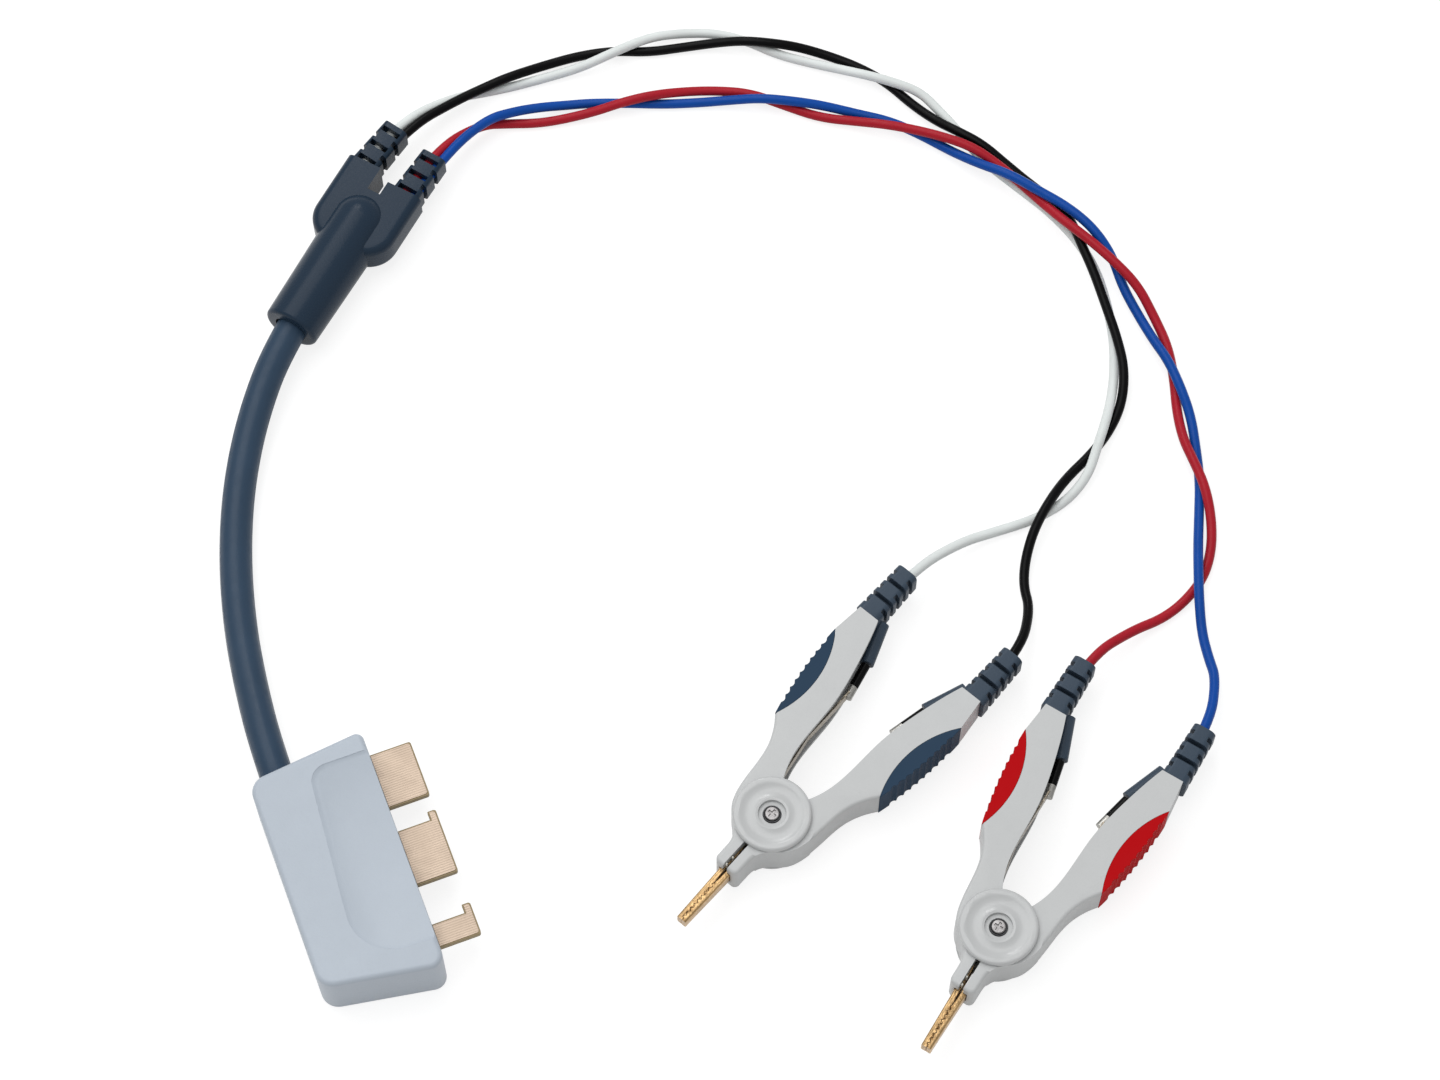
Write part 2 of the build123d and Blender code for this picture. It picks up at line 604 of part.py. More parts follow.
def splitter_block():
    # The flat two-branch block, its round shoulders and outer sides rounded over
    outline = branch_outline(1, LEFT_BRANCH_END) + branch_outline(-1, RIGHT_BRANCH_END)
    block = slab(outline, SPLITTER_MID - BLOCK_THICK / 2, SPLITTER_MID + BLOCK_THICK / 2)
    rounded = []
    for edge in block.edges():
        spot = edge.center()
        on_face = abs(spot.Z - SPLITTER_MID) > BLOCK_THICK / 2 - SEAM
        outside = abs(spot.Y) > BLOCK_HALF_WIDTH - SEAM or spot.X < BLOCK_START + BLOCK_SHOULDER
        if on_face and outside:
            rounded.append(edge)
    return fillet(rounded, BLOCK_EDGE)


def splitter_moulding():
    body = rod_along_x(SLEEVE_MOUTH_DIA / 2, 0, BLOCK_START, z=SPLITTER_MID, end_radius=SLEEVE_DIA / 2)
    body = fillet(body.edges().sort_by(Axis.X)[0], SLEEVE_MOUTH_ROUND)
    body = body + rod_along_x(SLEEVE_DIA / 2, BLOCK_START, SLEEVE_LENGTH, z=SPLITTER_MID)
    body = body + Pos(SLEEVE_LENGTH, 0, SPLITTER_MID) * Sphere(SLEEVE_DIA / 2)
    body = body + splitter_block()
    for side in (1, -1):
        body = body + relief_place(side) * slotted_relief()
    for side in (1, -1):
        body = body - relief_place(side) * lead_pair_bore()
    end = SPLITTER_INSERTION + FERRULE_SEAT
    body = body - rod_along_x(CABLE_BORE, 0, end, z=SPLITTER_MID)
    return body - rod_along_x(FERRULE_BORE, SPLITTER_INSERTION - FERRULE_LENGTH, end, z=SPLITTER_MID)


def splitter_ferrule():
    start = SPLITTER_INSERTION - FERRULE_LENGTH + FERRULE_SEAT
    ring = rod_along_x(CABLE_BORE + FERRULE_WALL, start, SPLITTER_INSERTION, z=SPLITTER_MID)
    return ring - rod_along_x(CABLE_BORE, start, SPLITTER_INSERTION, z=SPLITTER_MID)


# Clip arms, drawn for the fixed side at +Y; the moving side is the mirror image

def grip_edges():
    # The grip's inner arc, hollowed into the handle, and its crowned outer edge
    start, end = Vector(GRIP_START, GRIP_START_HALF), Vector(GRIP_END, GRIP_END_HALF)
    inward = (end - start).normalized().rotate(Axis.Z, -90)
    middle = (start + end) * 0.5
    inner = ThreePointArc(start, middle + inward * GRIP_HOLLOW, end)
    outer = ThreePointArc(start, middle - inward * GRIP_CROWN, end)
    return inner, outer, inward


def arm_outer():
    # From the end of the straight nose, round the hub, to the grip
    def on_rim(radius, angle):
        return radius * math.cos(math.radians(angle)), radius * math.sin(math.radians(angle))

    points = [(-WAIST_AT, NOSE_HALF), on_rim(ARM_RIM, 119), on_rim(ARM_RIM + ARM_SWELL, 84),
              ARM_SHOULDER, (GRIP_START, GRIP_START_HALF)]
    return Spline(*points, tangents=[(1, 0), (1, ARM_RISE)])


def arm_outline():
    inner = [
        (HANDLE_LENGTH, HANDLE_INNER),
        (HANDLE_LENGTH * 0.79, (HANDLE_INNER + HANDLE_INNER_MID) / 2 - HANDLE_INNER_SAG),
        (HANDLE_LENGTH * 0.56, HANDLE_INNER_MID),
        (HUB_R + HANDLE_ROOT, HANDLE_INNER_MID - HANDLE_ROOT_DROP),
        (HUB_R + HUB_NECK, HANDLE_INNER_MID / 2),
    ]
    hub_side = (HUB_HOLE - ARM_WALL * 2, SLOT_HALF)
    edge = [
        Line((-NOSE_END, NOSE_HALF), (-WAIST_AT, NOSE_HALF)),
        arm_outer(),
        grip_edges()[0],
        Line((GRIP_END, GRIP_END_HALF), (HANDLE_LENGTH, HANDLE_OUTER)),
        Line((HANDLE_LENGTH, HANDLE_OUTER), inner[0]),
        Spline(*inner),
        Line(inner[-1], hub_side),
        Line(hub_side, (-NOSE_END, SLOT_HALF)),
        Line((-NOSE_END, SLOT_HALF), (-NOSE_END, NOSE_HALF)),
    ]
    face = make_face(edge)
    corner = face.vertices().sort_by_distance((-NOSE_END, NOSE_HALF, 0))[0]
    return fillet(corner, NOSE_ROUND)


def arm_solid(outline):
    # The whole arm before it is hollowed, with its outer edges rounded over
    body = slab(outline, ARM_FLOOR, ARM_TOP)
    middle = arm_outer() @ 0.5
    rounded = []
    for z in (ARM_FLOOR, ARM_TOP):
        level = body.edges().filter_by_position(Axis.Z, z - SEAM, z + SEAM)
        rounded.append(level.sort_by_distance((middle.X, middle.Y, z))[0])
    return fillet(rounded, ARM_EDGE)


def jaw_socket():
    # The room in the nose that holds the jaw's root
    length = NOSE_END - HUB_HOLE
    height = JAW_HEIGHT_ROOT + 2 * JAW_SEAT
    width = JAW_HALF_ROOT + JAW_SEAT
    return bar(length, width, height, -HUB_HOLE - length / 2, width / 2, CLIP_MID)


def arm_channel(outline):
    # Top and bottom skins and an outer wall, open along the inner side; the nose is solid
    body = arm_solid(outline)
    pocket = slab((Pos(0, -ARM_WALL) * outline) + (Pos(0, -3 * ARM_WALL) * outline),
                  ARM_FLOOR + ARM_SKIN, ARM_TOP - ARM_SKIN)
    behind_nose = bar(2 * HANDLE_LENGTH, 2 * HANDLE_LENGTH, 3 * ARM_HEIGHT,
                      HANDLE_LENGTH - HUB_HOLE, 0, CLIP_MID)
    return body - (pocket & behind_nose) - jaw_socket()


def fixed_arm():
    # Its hub plates are the outer pair, flush with its faces
    body = arm_channel(arm_outline())
    body = body - rod(HUB_HOLE, ARM_FLOOR + ARM_SKIN, ARM_TOP - ARM_SKIN)
    for low in (ARM_FLOOR, ARM_TOP - ARM_SKIN):
        body = body + rod(HUB_R, low, low + ARM_SKIN)
    return body - rod(BUSH_R + BUSH_FIT, ARM_FLOOR, ARM_TOP)


def moving_arm():
    # Its hub plates are the inner pair, a plate's thickness and a gap further in
    outline = arm_outline()
    body = arm_channel(outline) - rod(HUB_HOLE, ARM_FLOOR, ARM_TOP)
    near_hub = outline & Circle(ARM_RIM + HUB_STEP)
    step = near_hub - Circle(HUB_HOLE)
    plate = near_hub + Circle(HUB_R)
    body = body + slab(step, ARM_FLOOR, LOWER_PLATE) + slab(step, UPPER_PLATE, ARM_TOP)
    body = body + slab(plate, LOWER_PLATE, LOWER_PLATE + ARM_SKIN)
    body = body + slab(plate, UPPER_PLATE - ARM_SKIN, UPPER_PLATE)
    body = body - rod(BUSH_R + BUSH_FIT, ARM_FLOOR, ARM_TOP)
    return mirror(body, Plane.XZ)


def grip():
    inner, outer, inward = grip_edges()
    body = slab(make_face([inner, outer]), ARM_FLOOR, ARM_TOP)
    first = outer.length / 2 - (GRIP_RIBS - 1) * GRIP_RIB_PITCH / 2
    for number in range(GRIP_RIBS):
        spot = outer @ ((first + number * GRIP_RIB_PITCH) / outer.length)
        spot = spot - inward * (GRIP_RIB_RADIUS - GRIP_RIB_DEPTH)
        body = body - rod(GRIP_RIB_RADIUS, ARM_FLOOR, ARM_TOP, spot.X, spot.Y)
    return Pos(*(inward * -GRIP_SEAT)) * body


def boot():
    # Side notches and deeper face slots take turns, and every slot dents the sides
    slots = [BOOT_FIRST_SLOT + number * BOOT_SLOT_PITCH for number in range(BOOT_SLOTS)]
    face_slot = bar(BOOT_SLOT, BOOT_WIDTH, 2 * BOOT_FACE_DEPTH)
    notch = bar(BOOT_SLOT, 2 * BOOT_SIDE_DEPTH, BOOT_THICK)
    dent = bar(BOOT_SLOT, 2 * BOOT_EDGE_DEPTH, BOOT_THICK)
    body = slotted_bar(BOOT_LENGTH, BOOT_WIDTH, BOOT_THICK, BOOT_ROUND, BOOT_TAPER, slots,
                       face_cut=([], [face_slot]), side_cut=([notch], [dent]))
    # The neck plugs into the open end of the arm's channel
    neck_width = HANDLE_OUTER - ARM_WALL - HANDLE_INNER
    neck_y = HANDLE_INNER + neck_width / 2 - BOOT_OFFSET - BOOT_SEAT
    neck_height = ARM_HEIGHT - 2 * ARM_SKIN - 2 * BOOT_SEAT
    body = body + bar(BOOT_NECK, neck_width, neck_height, -BOOT_NECK / 2, neck_y)
    body = body - rod_along_x(LEAD_BORE, BOOT_BORE_START, BOOT_LENGTH + 1)
    body = Pos(HANDLE_LENGTH + BOOT_SEAT, BOOT_OFFSET, CLIP_MID) * body
    tail_start, tail_end = Vector(TAIL_START, TAIL_START_Y), Vector(TAIL_END, TAIL_END_Y)
    return body + rod_between(tail_start, tail_end, TAIL_DIA / 2)


def crimp_line():
    # The wire end: crimp barrel on the strip, then the bare core up to the boot's tail
    start, end = Vector(CRIMP_START, CRIMP_START_Y), Vector(TAIL_START, TAIL_START_Y)
    along = (end - start).normalized()
    return start, start + along * CRIMP_LENGTH, end - along * TAIL_GAP, along


def crimp():
    start, barrel_end, core_end, along = crimp_line()
    body = rod_between(start, barrel_end, CRIMP_DIA / 2) + rod_between(barrel_end, core_end, CORE_DIA / 2)
    slot = slab(strip_outline(STRIP_THICK + 2 * JAW_SEAT), CLIP_MID - CRIMP_DIA, CLIP_MID + CRIMP_DIA)
    return body - slot


def shrink_sleeve():
    start, barrel_end, core_end, along = crimp_line()
    first = barrel_end + along * SHRINK_FIT
    bore = CORE_DIA / 2 + SHRINK_FIT
    return rod_between(first, core_end, bore + SHRINK_WALL) - rod_between(first, core_end, bore)


# Jaws

def tooth_line():
    # The parting line between the two jaws: plain at first, then a row of teeth
    points = [(1 - JAW_ROOT, 0), (-TOOTH_START, 0)]
    for number in range(TOOTH_COUNT):
        start = -TOOTH_START - number * TOOTH_PITCH
        points.append((start - TOOTH_PITCH / 4, TOOTH_HEIGHT / 2))
        points.append((start - 3 * TOOTH_PITCH / 4, -TOOTH_HEIGHT / 2))
    points.append((-JAW_REACH, 0))
    points.append((-JAW_REACH - 1, 0))
    return points


def jaw_side(sign):
    # Everything on one side of the parting line: half the gap away from it along the teeth,
    # further away towards the root
    line = [(x, y + sign * JAW_GAP / 2) for x, y in tooth_line()]
    line[0] = (line[0][0], sign * JAW_ROOT_GAP / 2)
    far = sign * 3 * JAW_HALF_ROOT
    return Polygon(*line, (line[-1][0], far), (line[0][0], far), align=None)


def jaw_section(x, half, height, inset):
    width, height = 2 * (half - inset), height - 2 * inset
    face = Rectangle(width, height) if inset else RectangleRounded(width, height, JAW_FOLD)
    return Plane(origin=(-x, 0, CLIP_MID), x_dir=(0, 1, 0), z_dir=(-1, 0, 0)) * face


def jaw_blade(sign):
    # A folded sheet: outer wall and two flanges that carry the teeth
    outer = loft([jaw_section(JAW_ROOT, JAW_HALF_ROOT, JAW_HEIGHT_ROOT, 0),
                  jaw_section(JAW_REACH, JAW_HALF_TIP, JAW_HEIGHT_TIP, 0)])
    inner = loft([jaw_section(JAW_ROOT, JAW_HALF_ROOT, JAW_HEIGHT_ROOT, JAW_SHEET),
                  jaw_section(JAW_REACH - JAW_SHEET, JAW_HALF_TIP, JAW_HEIGHT_TIP, JAW_SHEET)])
    return (outer - inner) & slab(jaw_side(sign), ARM_FLOOR, ARM_TOP)


def strip_line():
    # From the jaw's root, round the spring, and along the arm's open side to the crimp
    turn = SPRING_R + SPRING_WIRE / 2 + STRIP_FROM_SPRING
    root_y = JAW_HALF_ROOT - JAW_SHEET / 2
    inside = HANDLE_INNER_MID + STRIP_INSIDE
    bends = [
        (-JAW_ROOT - 1, root_y),
        (-STRIP_FIRST_BEND, root_y),
        (-turn, turn * 0.8),
        (-turn * 0.3, turn + STRIP_THICK),
        (HUB_R, turn + STRIP_THICK),
        (HANDLE_LENGTH * 0.4, inside),
        (CRIMP_START + STRIP_OVERLAP, CRIMP_START_Y + STRIP_OFFSET),
    ]
    return FilletPolyline(*bends, radius=STRIP_BEND)


def strip_outline(thick):
    # The strip seen from above, as a band along its line
    return trace(strip_line(), thick)


def jaw(sign):
    strip = slab(strip_outline(STRIP_THICK), CLIP_MID - STRIP_HEIGHT / 2, CLIP_MID + STRIP_HEIGHT / 2)
    if sign < 0:
        strip = mirror(strip, Plane.XZ)
    return jaw_blade(sign) + strip


# Pivot

def clip_disc(top):
    # Rounded rim, dished ring, a lip round the recess, and a running gap over the moving arm
    hole, hub = BUSH_R + BUSH_FIT, HUB_R - HUB_GAP
    recess, floor = DISC_RECESS_DIA / 2, DISC_RISE - DISC_RECESS_DEPTH
    lip, lip_top = recess + DISC_LIP, DISC_RISE - DISC_LIP_DROP
    dish_start = DISC_R - DISC_RIM
    bend = DISC_ROUND * (1 - math.sqrt(0.5))
    profile = [
        Polyline((recess, floor), (hole, floor), (hole, 0), (hub, 0), (hub, DISC_RUNNING_GAP),
                 (DISC_R, DISC_RUNNING_GAP), (DISC_R, DISC_RISE - DISC_ROUND)),
        ThreePointArc((DISC_R, DISC_RISE - DISC_ROUND), (DISC_R - bend, DISC_RISE - bend),
                      (DISC_R - DISC_ROUND, DISC_RISE)),
        Line((DISC_R - DISC_ROUND, DISC_RISE), (dish_start, DISC_RISE)),
        ThreePointArc((dish_start, DISC_RISE), ((dish_start + lip) / 2, DISC_RISE - DISC_DISH),
                      (lip, lip_top)),
        Line((lip, lip_top), (recess, lip_top - DISC_LIP_DROP)),
        Line((recess, lip_top - DISC_LIP_DROP), (recess, floor)),
    ]
    disc = revolve(Plane.XZ * make_face(profile), Axis.Z)
    if top:
        return Pos(0, 0, ARM_TOP) * disc
    return Pos(0, 0, ARM_FLOOR) * Rot(180, 0, 0) * disc


def bush_ends():
    return DISC_RECESS_DEPTH, CLIP_TOP - DISC_RECESS_DEPTH


def pivot_bush():
    # Its upper end is a thin cup round the screw's head
    low, high = bush_ends()
    bush = rod(BUSH_R, low, high + BUSH_LIP)
    bush = bush - rod(PIVOT_HEAD_DIA / 2 + PIVOT_HEAD_FIT, high, high + BUSH_LIP)
    return bush - rod(PIVOT_SCREW_DIA / 2 + PIVOT_SCREW_FIT, low, high)


def pivot_screw():
    low, high = bush_ends()
    head = rod(PIVOT_HEAD_DIA / 2, high, high + PIVOT_HEAD_THICK)
    head = fillet(head.edges().sort_by(Axis.Z)[-1], PIVOT_HEAD_THICK / 3)
    screw = head + rod(PIVOT_SCREW_DIA / 2, low - NUT_THICK, high)
    return screw - cross_slot(CROSS_SPAN * PIVOT_HEAD_DIA, 0, 0, high + PIVOT_HEAD_THICK)


def pivot_nut():
    low = bush_ends()[0]
    nut = slab(RegularPolygon(NUT_ACROSS / 2, 6, major_radius=False), low - NUT_THICK, low)
    return nut - rod(PIVOT_SCREW_DIA / 2, low - NUT_THICK, low)


def spring_heights():
    margin = ARM_SKIN + SPRING_END_GAP + SPRING_WIRE / 2
    return LOWER_PLATE + margin, UPPER_PLATE - margin


def torsion_spring():
    # A coil round the bush, its lower leg out to the moving arm and its upper one to the fixed arm
    low, high = spring_heights()
    leg = math.sqrt(SPRING_LEG_END ** 2 + SPRING_LEG_END_Y ** 2 - SPRING_R ** 2)
    leg_angle = math.atan2(SPRING_LEG_END_Y, SPRING_LEG_END) + math.atan2(SPRING_R, leg)
    start = math.pi / 2 - leg_angle
    step = 2 * (math.pi * SPRING_TURNS - start) / SPRING_BENDS
    bend_r = SPRING_R / math.cos(step / 2)
    points = [Vector(SPRING_LEG_END, -SPRING_LEG_END_Y, low)]
    for number in range(SPRING_BENDS):
        angle = start + (number + 0.5) * step
        z = low + (high - low) * number / (SPRING_BENDS - 1)
        points.append(Vector(bend_r * math.cos(angle), bend_r * math.sin(angle), z))
    points.append(Vector(SPRING_LEG_END, SPRING_LEG_END_Y, high))
    return tube(points, SPRING_WIRE)[0]


# The cable and the leads

def cord(name, route, diameter):
    body, length, radii = tube([Vector(*point) for point in route], diameter)
    ideal = math.pi * (diameter / 2) ** 2 * length
    print(f"{name}: {length:.1f} long, tightest {min(radii):.1f}, widest {max(radii):.0f},",
          f"volume {body.volume / ideal:.4f} of section times length,",
          f"lowest {body.bounding_box().min.Z:.3f}")
    return body


def plug_parts():
    parts = {
        "plug_top_shell": plug_top_shell(),
        "plug_bottom_shell": plug_bottom_shell(),
        "plug_screws": plug_screws(),
        "plug_ferrule": plug_ferrule(),
        "contact_board": contact_board(),
    }
    names = ("high_contact", "low_contact", "guard_contact")
    for name, tab in zip(names, tabs()):
        parts[name] = contact_pads(tab)
    return parts


def clip_parts(colour):
    pieces = {
        "fixed_arm": fixed_arm(),
        "moving_arm": moving_arm(),
        "fixed_jaw": jaw(1),
        "moving_jaw": jaw(-1),
        "top_disc": clip_disc(True),
        "bottom_disc": clip_disc(False),
        "pivot_bush": pivot_bush(),
        "pivot_screw": pivot_screw(),
        "pivot_nut": pivot_nut(),
        "torsion_spring": torsion_spring(),
    }
    for name, piece in (("grip", grip()), ("boot", boot()), ("crimp", crimp()),
                        ("shrink_sleeve", shrink_sleeve())):
        pieces[f"fixed_{name}"] = piece
        pieces[f"moving_{name}"] = mirror(piece, Plane.XZ)
    return {f"{colour}_{name}": piece for name, piece in pieces.items()}


def main():
    parts = {}
    groups = [
        (place(PLUG_AT, PLUG_TURN), plug_parts()),
        (place(SPLITTER_AT, SPLITTER_TURN),
         {"splitter_moulding": splitter_moulding(), "splitter_ferrule": splitter_ferrule()}),
        (place(GREY_CLIP_AT, GREY_CLIP_TURN), clip_parts("grey")),
        (place(RED_CLIP_AT, RED_CLIP_TURN), clip_parts("red")),
    ]
    for where, pieces in groups:
        for name, piece in pieces.items():
            parts[name] = where * piece
    parts["main_cable"] = cord("main_cable", CABLE_ROUTE, CABLE_DIA)
    for name, route in (("white", WHITE_ROUTE), ("black", BLACK_ROUTE), ("red", RED_ROUTE),
                        ("blue", BLUE_ROUTE)):
        parts[f"{name}_lead"] = cord(f"{name}_lead", route, LEAD_DIA)

    os.makedirs("parts", exist_ok=True)
    for name, shape in parts.items():
        export_step(Compound(children=list(shape.solids())), f"parts/{name}.step")


main()
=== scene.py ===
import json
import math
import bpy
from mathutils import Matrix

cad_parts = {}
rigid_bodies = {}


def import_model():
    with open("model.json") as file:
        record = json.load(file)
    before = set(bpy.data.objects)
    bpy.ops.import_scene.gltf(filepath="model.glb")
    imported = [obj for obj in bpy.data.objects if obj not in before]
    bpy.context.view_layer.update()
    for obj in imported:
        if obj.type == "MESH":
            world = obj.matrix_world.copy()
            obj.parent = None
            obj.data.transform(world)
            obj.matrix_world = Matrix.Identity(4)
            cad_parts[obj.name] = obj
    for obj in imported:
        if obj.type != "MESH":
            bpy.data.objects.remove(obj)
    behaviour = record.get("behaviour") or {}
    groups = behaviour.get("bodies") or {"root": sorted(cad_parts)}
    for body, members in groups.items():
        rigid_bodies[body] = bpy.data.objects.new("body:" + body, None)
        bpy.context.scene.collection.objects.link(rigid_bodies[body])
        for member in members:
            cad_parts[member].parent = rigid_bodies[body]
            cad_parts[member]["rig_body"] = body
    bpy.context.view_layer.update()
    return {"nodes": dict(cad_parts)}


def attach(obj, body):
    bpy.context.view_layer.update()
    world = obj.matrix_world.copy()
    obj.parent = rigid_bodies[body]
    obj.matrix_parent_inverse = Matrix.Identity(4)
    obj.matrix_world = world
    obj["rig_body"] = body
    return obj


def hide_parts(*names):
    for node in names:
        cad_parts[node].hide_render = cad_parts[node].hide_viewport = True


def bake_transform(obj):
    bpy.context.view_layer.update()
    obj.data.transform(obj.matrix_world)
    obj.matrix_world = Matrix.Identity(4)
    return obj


bl_info = {
    "name": "Kelvin test lead",
    "version": (1, 0, 0),
    "blender": (4, 5, 0),
    "location": "View3D > Sidebar > Test lead",
    "description": "Dresses the packed kelvin test lead: plug, cable, splitter, leads and clips",
    "category": "Object",
}

import bmesh
import bpy
from bpy.props import FloatProperty, FloatVectorProperty, IntProperty, PointerProperty
from bpy.types import Operator, Panel, PropertyGroup
from mathutils import Matrix, Vector

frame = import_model()

# Routes of the cable and the leads, in metres, from the plug or splitter outwards
CABLE_ROUTE = (
    (-0.0976, -0.0604, 0.008), (-0.1033, -0.0454, 0.008), (-0.1079, -0.0295, 0.0054),
    (-0.1114, -0.0139, 0.0039), (-0.1134, 0.0032, 0.0037), (-0.1134, 0.0207, 0.0039),
    (-0.1108, 0.0382, 0.005), (-0.1053, 0.0553, 0.007), (-0.0978, 0.0693, 0.007),
)
WHITE_ROUTE = (
    (-0.0875, 0.1036, 0.007), (-0.0794, 0.115, 0.007), (-0.068, 0.1237, 0.0029),
    (-0.0606, 0.1264, 0.0011), (-0.054, 0.1279, 0.0011), (-0.0455, 0.1305, 0.0011),
    (-0.037, 0.1329, 0.0019), (-0.0309, 0.135, 0.0037), (-0.025, 0.1382, 0.0037),
    (-0.019, 0.1416, 0.0022), (-0.0115, 0.1432, 0.0011), (-0.004, 0.1431, 0.0011),
    (0.0035, 0.141, 0.0011), (0.0106, 0.1373, 0.0011), (0.0183, 0.1349, 0.0011),
    (0.0266, 0.1324, 0.0019), (0.0334, 0.1296, 0.0037), (0.0396, 0.1276, 0.0037),
    (0.0453, 0.1258, 0.0024), (0.0496, 0.1216, 0.0011), (0.0536, 0.1166, 0.0011),
    (0.0576, 0.1106, 0.0011), (0.0626, 0.1052, 0.0011), (0.069, 0.0996, 0.0011),
    (0.0754, 0.0938, 0.0011), (0.0814, 0.0866, 0.0011), (0.0856, 0.0786, 0.0011),
    (0.0879, 0.0694, 0.0011), (0.0892, 0.0602, 0.0011), (0.089, 0.0514, 0.0011),
    (0.0879, 0.0442, 0.0019), (0.0863, 0.0379, 0.0037), (0.0841, 0.0313, 0.0037),
    (0.0817, 0.0242, 0.0023), (0.0768, 0.0184, 0.0011), (0.0703, 0.0143, 0.0011),
    (0.0656, 0.0124, 0.0011), (0.0594, 0.0102, 0.0015), (0.0518, 0.0069, 0.0033),
    (0.0413, -0.0008, 0.0064), (0.0332, -0.0101, 0.0064),
)
BLACK_ROUTE = (
    (-0.0855, 0.1021, 0.007), (-0.0773, 0.1135, 0.007), (-0.0664, 0.1222, 0.0045),
    (-0.06, 0.1262, 0.0037), (-0.054, 0.1293, 0.0037), (-0.046, 0.1334, 0.0019),
    (-0.0375, 0.1367, 0.0011), (-0.029, 0.1382, 0.0011), (-0.0204, 0.1378, 0.0011),
    (-0.0118, 0.1392, 0.0011), (-0.0038, 0.14, 0.0019), (0.0026, 0.1395, 0.0037),
    (0.0092, 0.1389, 0.0037), (0.0158, 0.1386, 0.0023), (0.023, 0.1369, 0.0011),
    (0.0304, 0.1337, 0.0011), (0.0374, 0.1292, 0.0011), (0.0432, 0.1232, 0.0011),
    (0.0489, 0.1182, 0.0019), (0.0536, 0.1145, 0.0037), (0.0596, 0.1109, 0.0037),
    (0.0654, 0.1062, 0.0019), (0.0711, 0.1012, 0.0011), (0.0764, 0.0962, 0.0019),
    (0.0799, 0.0906, 0.0037), (0.0822, 0.084, 0.0037), (0.0849, 0.0764, 0.0037),
    (0.0872, 0.068, 0.0037), (0.0896, 0.0594, 0.0037), (0.0911, 0.051, 0.0037),
    (0.0904, 0.0432, 0.0019), (0.0874, 0.0364, 0.0011), (0.0828, 0.0302, 0.0011),
    (0.0768, 0.024, 0.0015), (0.0726, 0.0174, 0.0037), (0.0688, 0.0104, 0.0037),
    (0.0666, 0.0034, 0.0019), (0.066, -0.003, 0.0011), (0.0673, -0.0092, 0.0022),
    (0.0644, -0.0209, 0.0064), (0.0563, -0.0302, 0.0064),
)
RED_ROUTE = (
    (-0.0777, 0.0954, 0.007), (-0.0704, 0.1074, 0.007), (-0.0606, 0.1168, 0.0025),
    (-0.0536, 0.1179, 0.0011), (-0.047, 0.118, 0.0011), (-0.0408, 0.1191, 0.0011),
    (-0.033, 0.1208, 0.0019), (-0.0263, 0.1224, 0.0037), (-0.0194, 0.1243, 0.0037),
    (-0.0122, 0.1263, 0.0019), (-0.0042, 0.1271, 0.0011), (0.0044, 0.1264, 0.0011),
    (0.0126, 0.1229, 0.0011), (0.021, 0.1196, 0.0011), (0.0296, 0.1181, 0.0019),
    (0.037, 0.1162, 0.0037), (0.044, 0.1147, 0.0037), (0.0508, 0.1123, 0.0044),
    (0.0574, 0.1092, 0.005), (0.0632, 0.1053, 0.0037), (0.0682, 0.1004, 0.0037),
    (0.073, 0.0952, 0.0039), (0.0778, 0.0892, 0.0059), (0.084, 0.0836, 0.0062),
    (0.0898, 0.0777, 0.0061), (0.095, 0.0722, 0.0047), (0.0988, 0.0653, 0.002),
    (0.1018, 0.0579, 0.0011), (0.1028, 0.0496, 0.0011), (0.103, 0.0413, 0.0011),
    (0.104, 0.0336, 0.0021), (0.106, 0.0272, 0.0037), (0.1083, 0.0208, 0.0037),
    (0.1096, 0.0136, 0.0019), (0.1093, 0.0058, 0.0011), (0.1069, -0.0014, 0.0011),
    (0.1022, -0.0072, 0.0011), (0.097, -0.0112, 0.0011), (0.09, -0.0148, 0.003),
    (0.0801, -0.0223, 0.0064), (0.0736, -0.0328, 0.0064),
)
BLUE_ROUTE = (
    (-0.0756, 0.0941, 0.007), (-0.0683, 0.1061, 0.007), (-0.059, 0.1166, 0.0053),
    (-0.0522, 0.1198, 0.0037), (-0.046, 0.1216, 0.0026), (-0.04, 0.1229, 0.0013),
    (-0.034, 0.1236, 0.0011), (-0.0254, 0.1236, 0.0011), (-0.0166, 0.1233, 0.0011),
    (-0.0082, 0.1237, 0.0011), (-0.0002, 0.124, 0.0019), (0.0068, 0.1235, 0.0037),
    (0.0144, 0.1227, 0.0037), (0.0216, 0.1223, 0.0023), (0.0298, 0.1207, 0.0011),
    (0.038, 0.1186, 0.0011), (0.0456, 0.1146, 0.0011), (0.0524, 0.1098, 0.0019),
    (0.059, 0.105, 0.0043), (0.0654, 0.1014, 0.0062), (0.0724, 0.0968, 0.0062),
    (0.079, 0.0926, 0.0061), (0.0849, 0.087, 0.006), (0.0893, 0.0808, 0.0039),
    (0.0916, 0.0733, 0.0024), (0.095, 0.0664, 0.0014), (0.0982, 0.0594, 0.0022),
    (0.1013, 0.0532, 0.0037), (0.1038, 0.0464, 0.0037), (0.1061, 0.0395, 0.0021),
    (0.107, 0.0314, 0.0011), (0.1075, 0.0234, 0.0011), (0.1069, 0.0152, 0.0011),
    (0.1062, 0.0074, 0.0019), (0.1057, 0.0004, 0.0037), (0.1055, -0.007, 0.0037),
    (0.1059, -0.0148, 0.0019), (0.1072, -0.0214, 0.0021), (0.1084, -0.0264, 0.0031),
    (0.1061, -0.0385, 0.0064), (0.0995, -0.049, 0.0064),
)

# Where each clip's pivot is and which way its handles point
GREY_PIVOT, GREY_TURN = (0.0084, -0.0620), 49.0
RED_PIVOT, RED_TURN = (0.0572, -0.0879), 58.0
PLUG_CORNER, PLUG_TURN = (-0.0820, -0.0437), -69.2

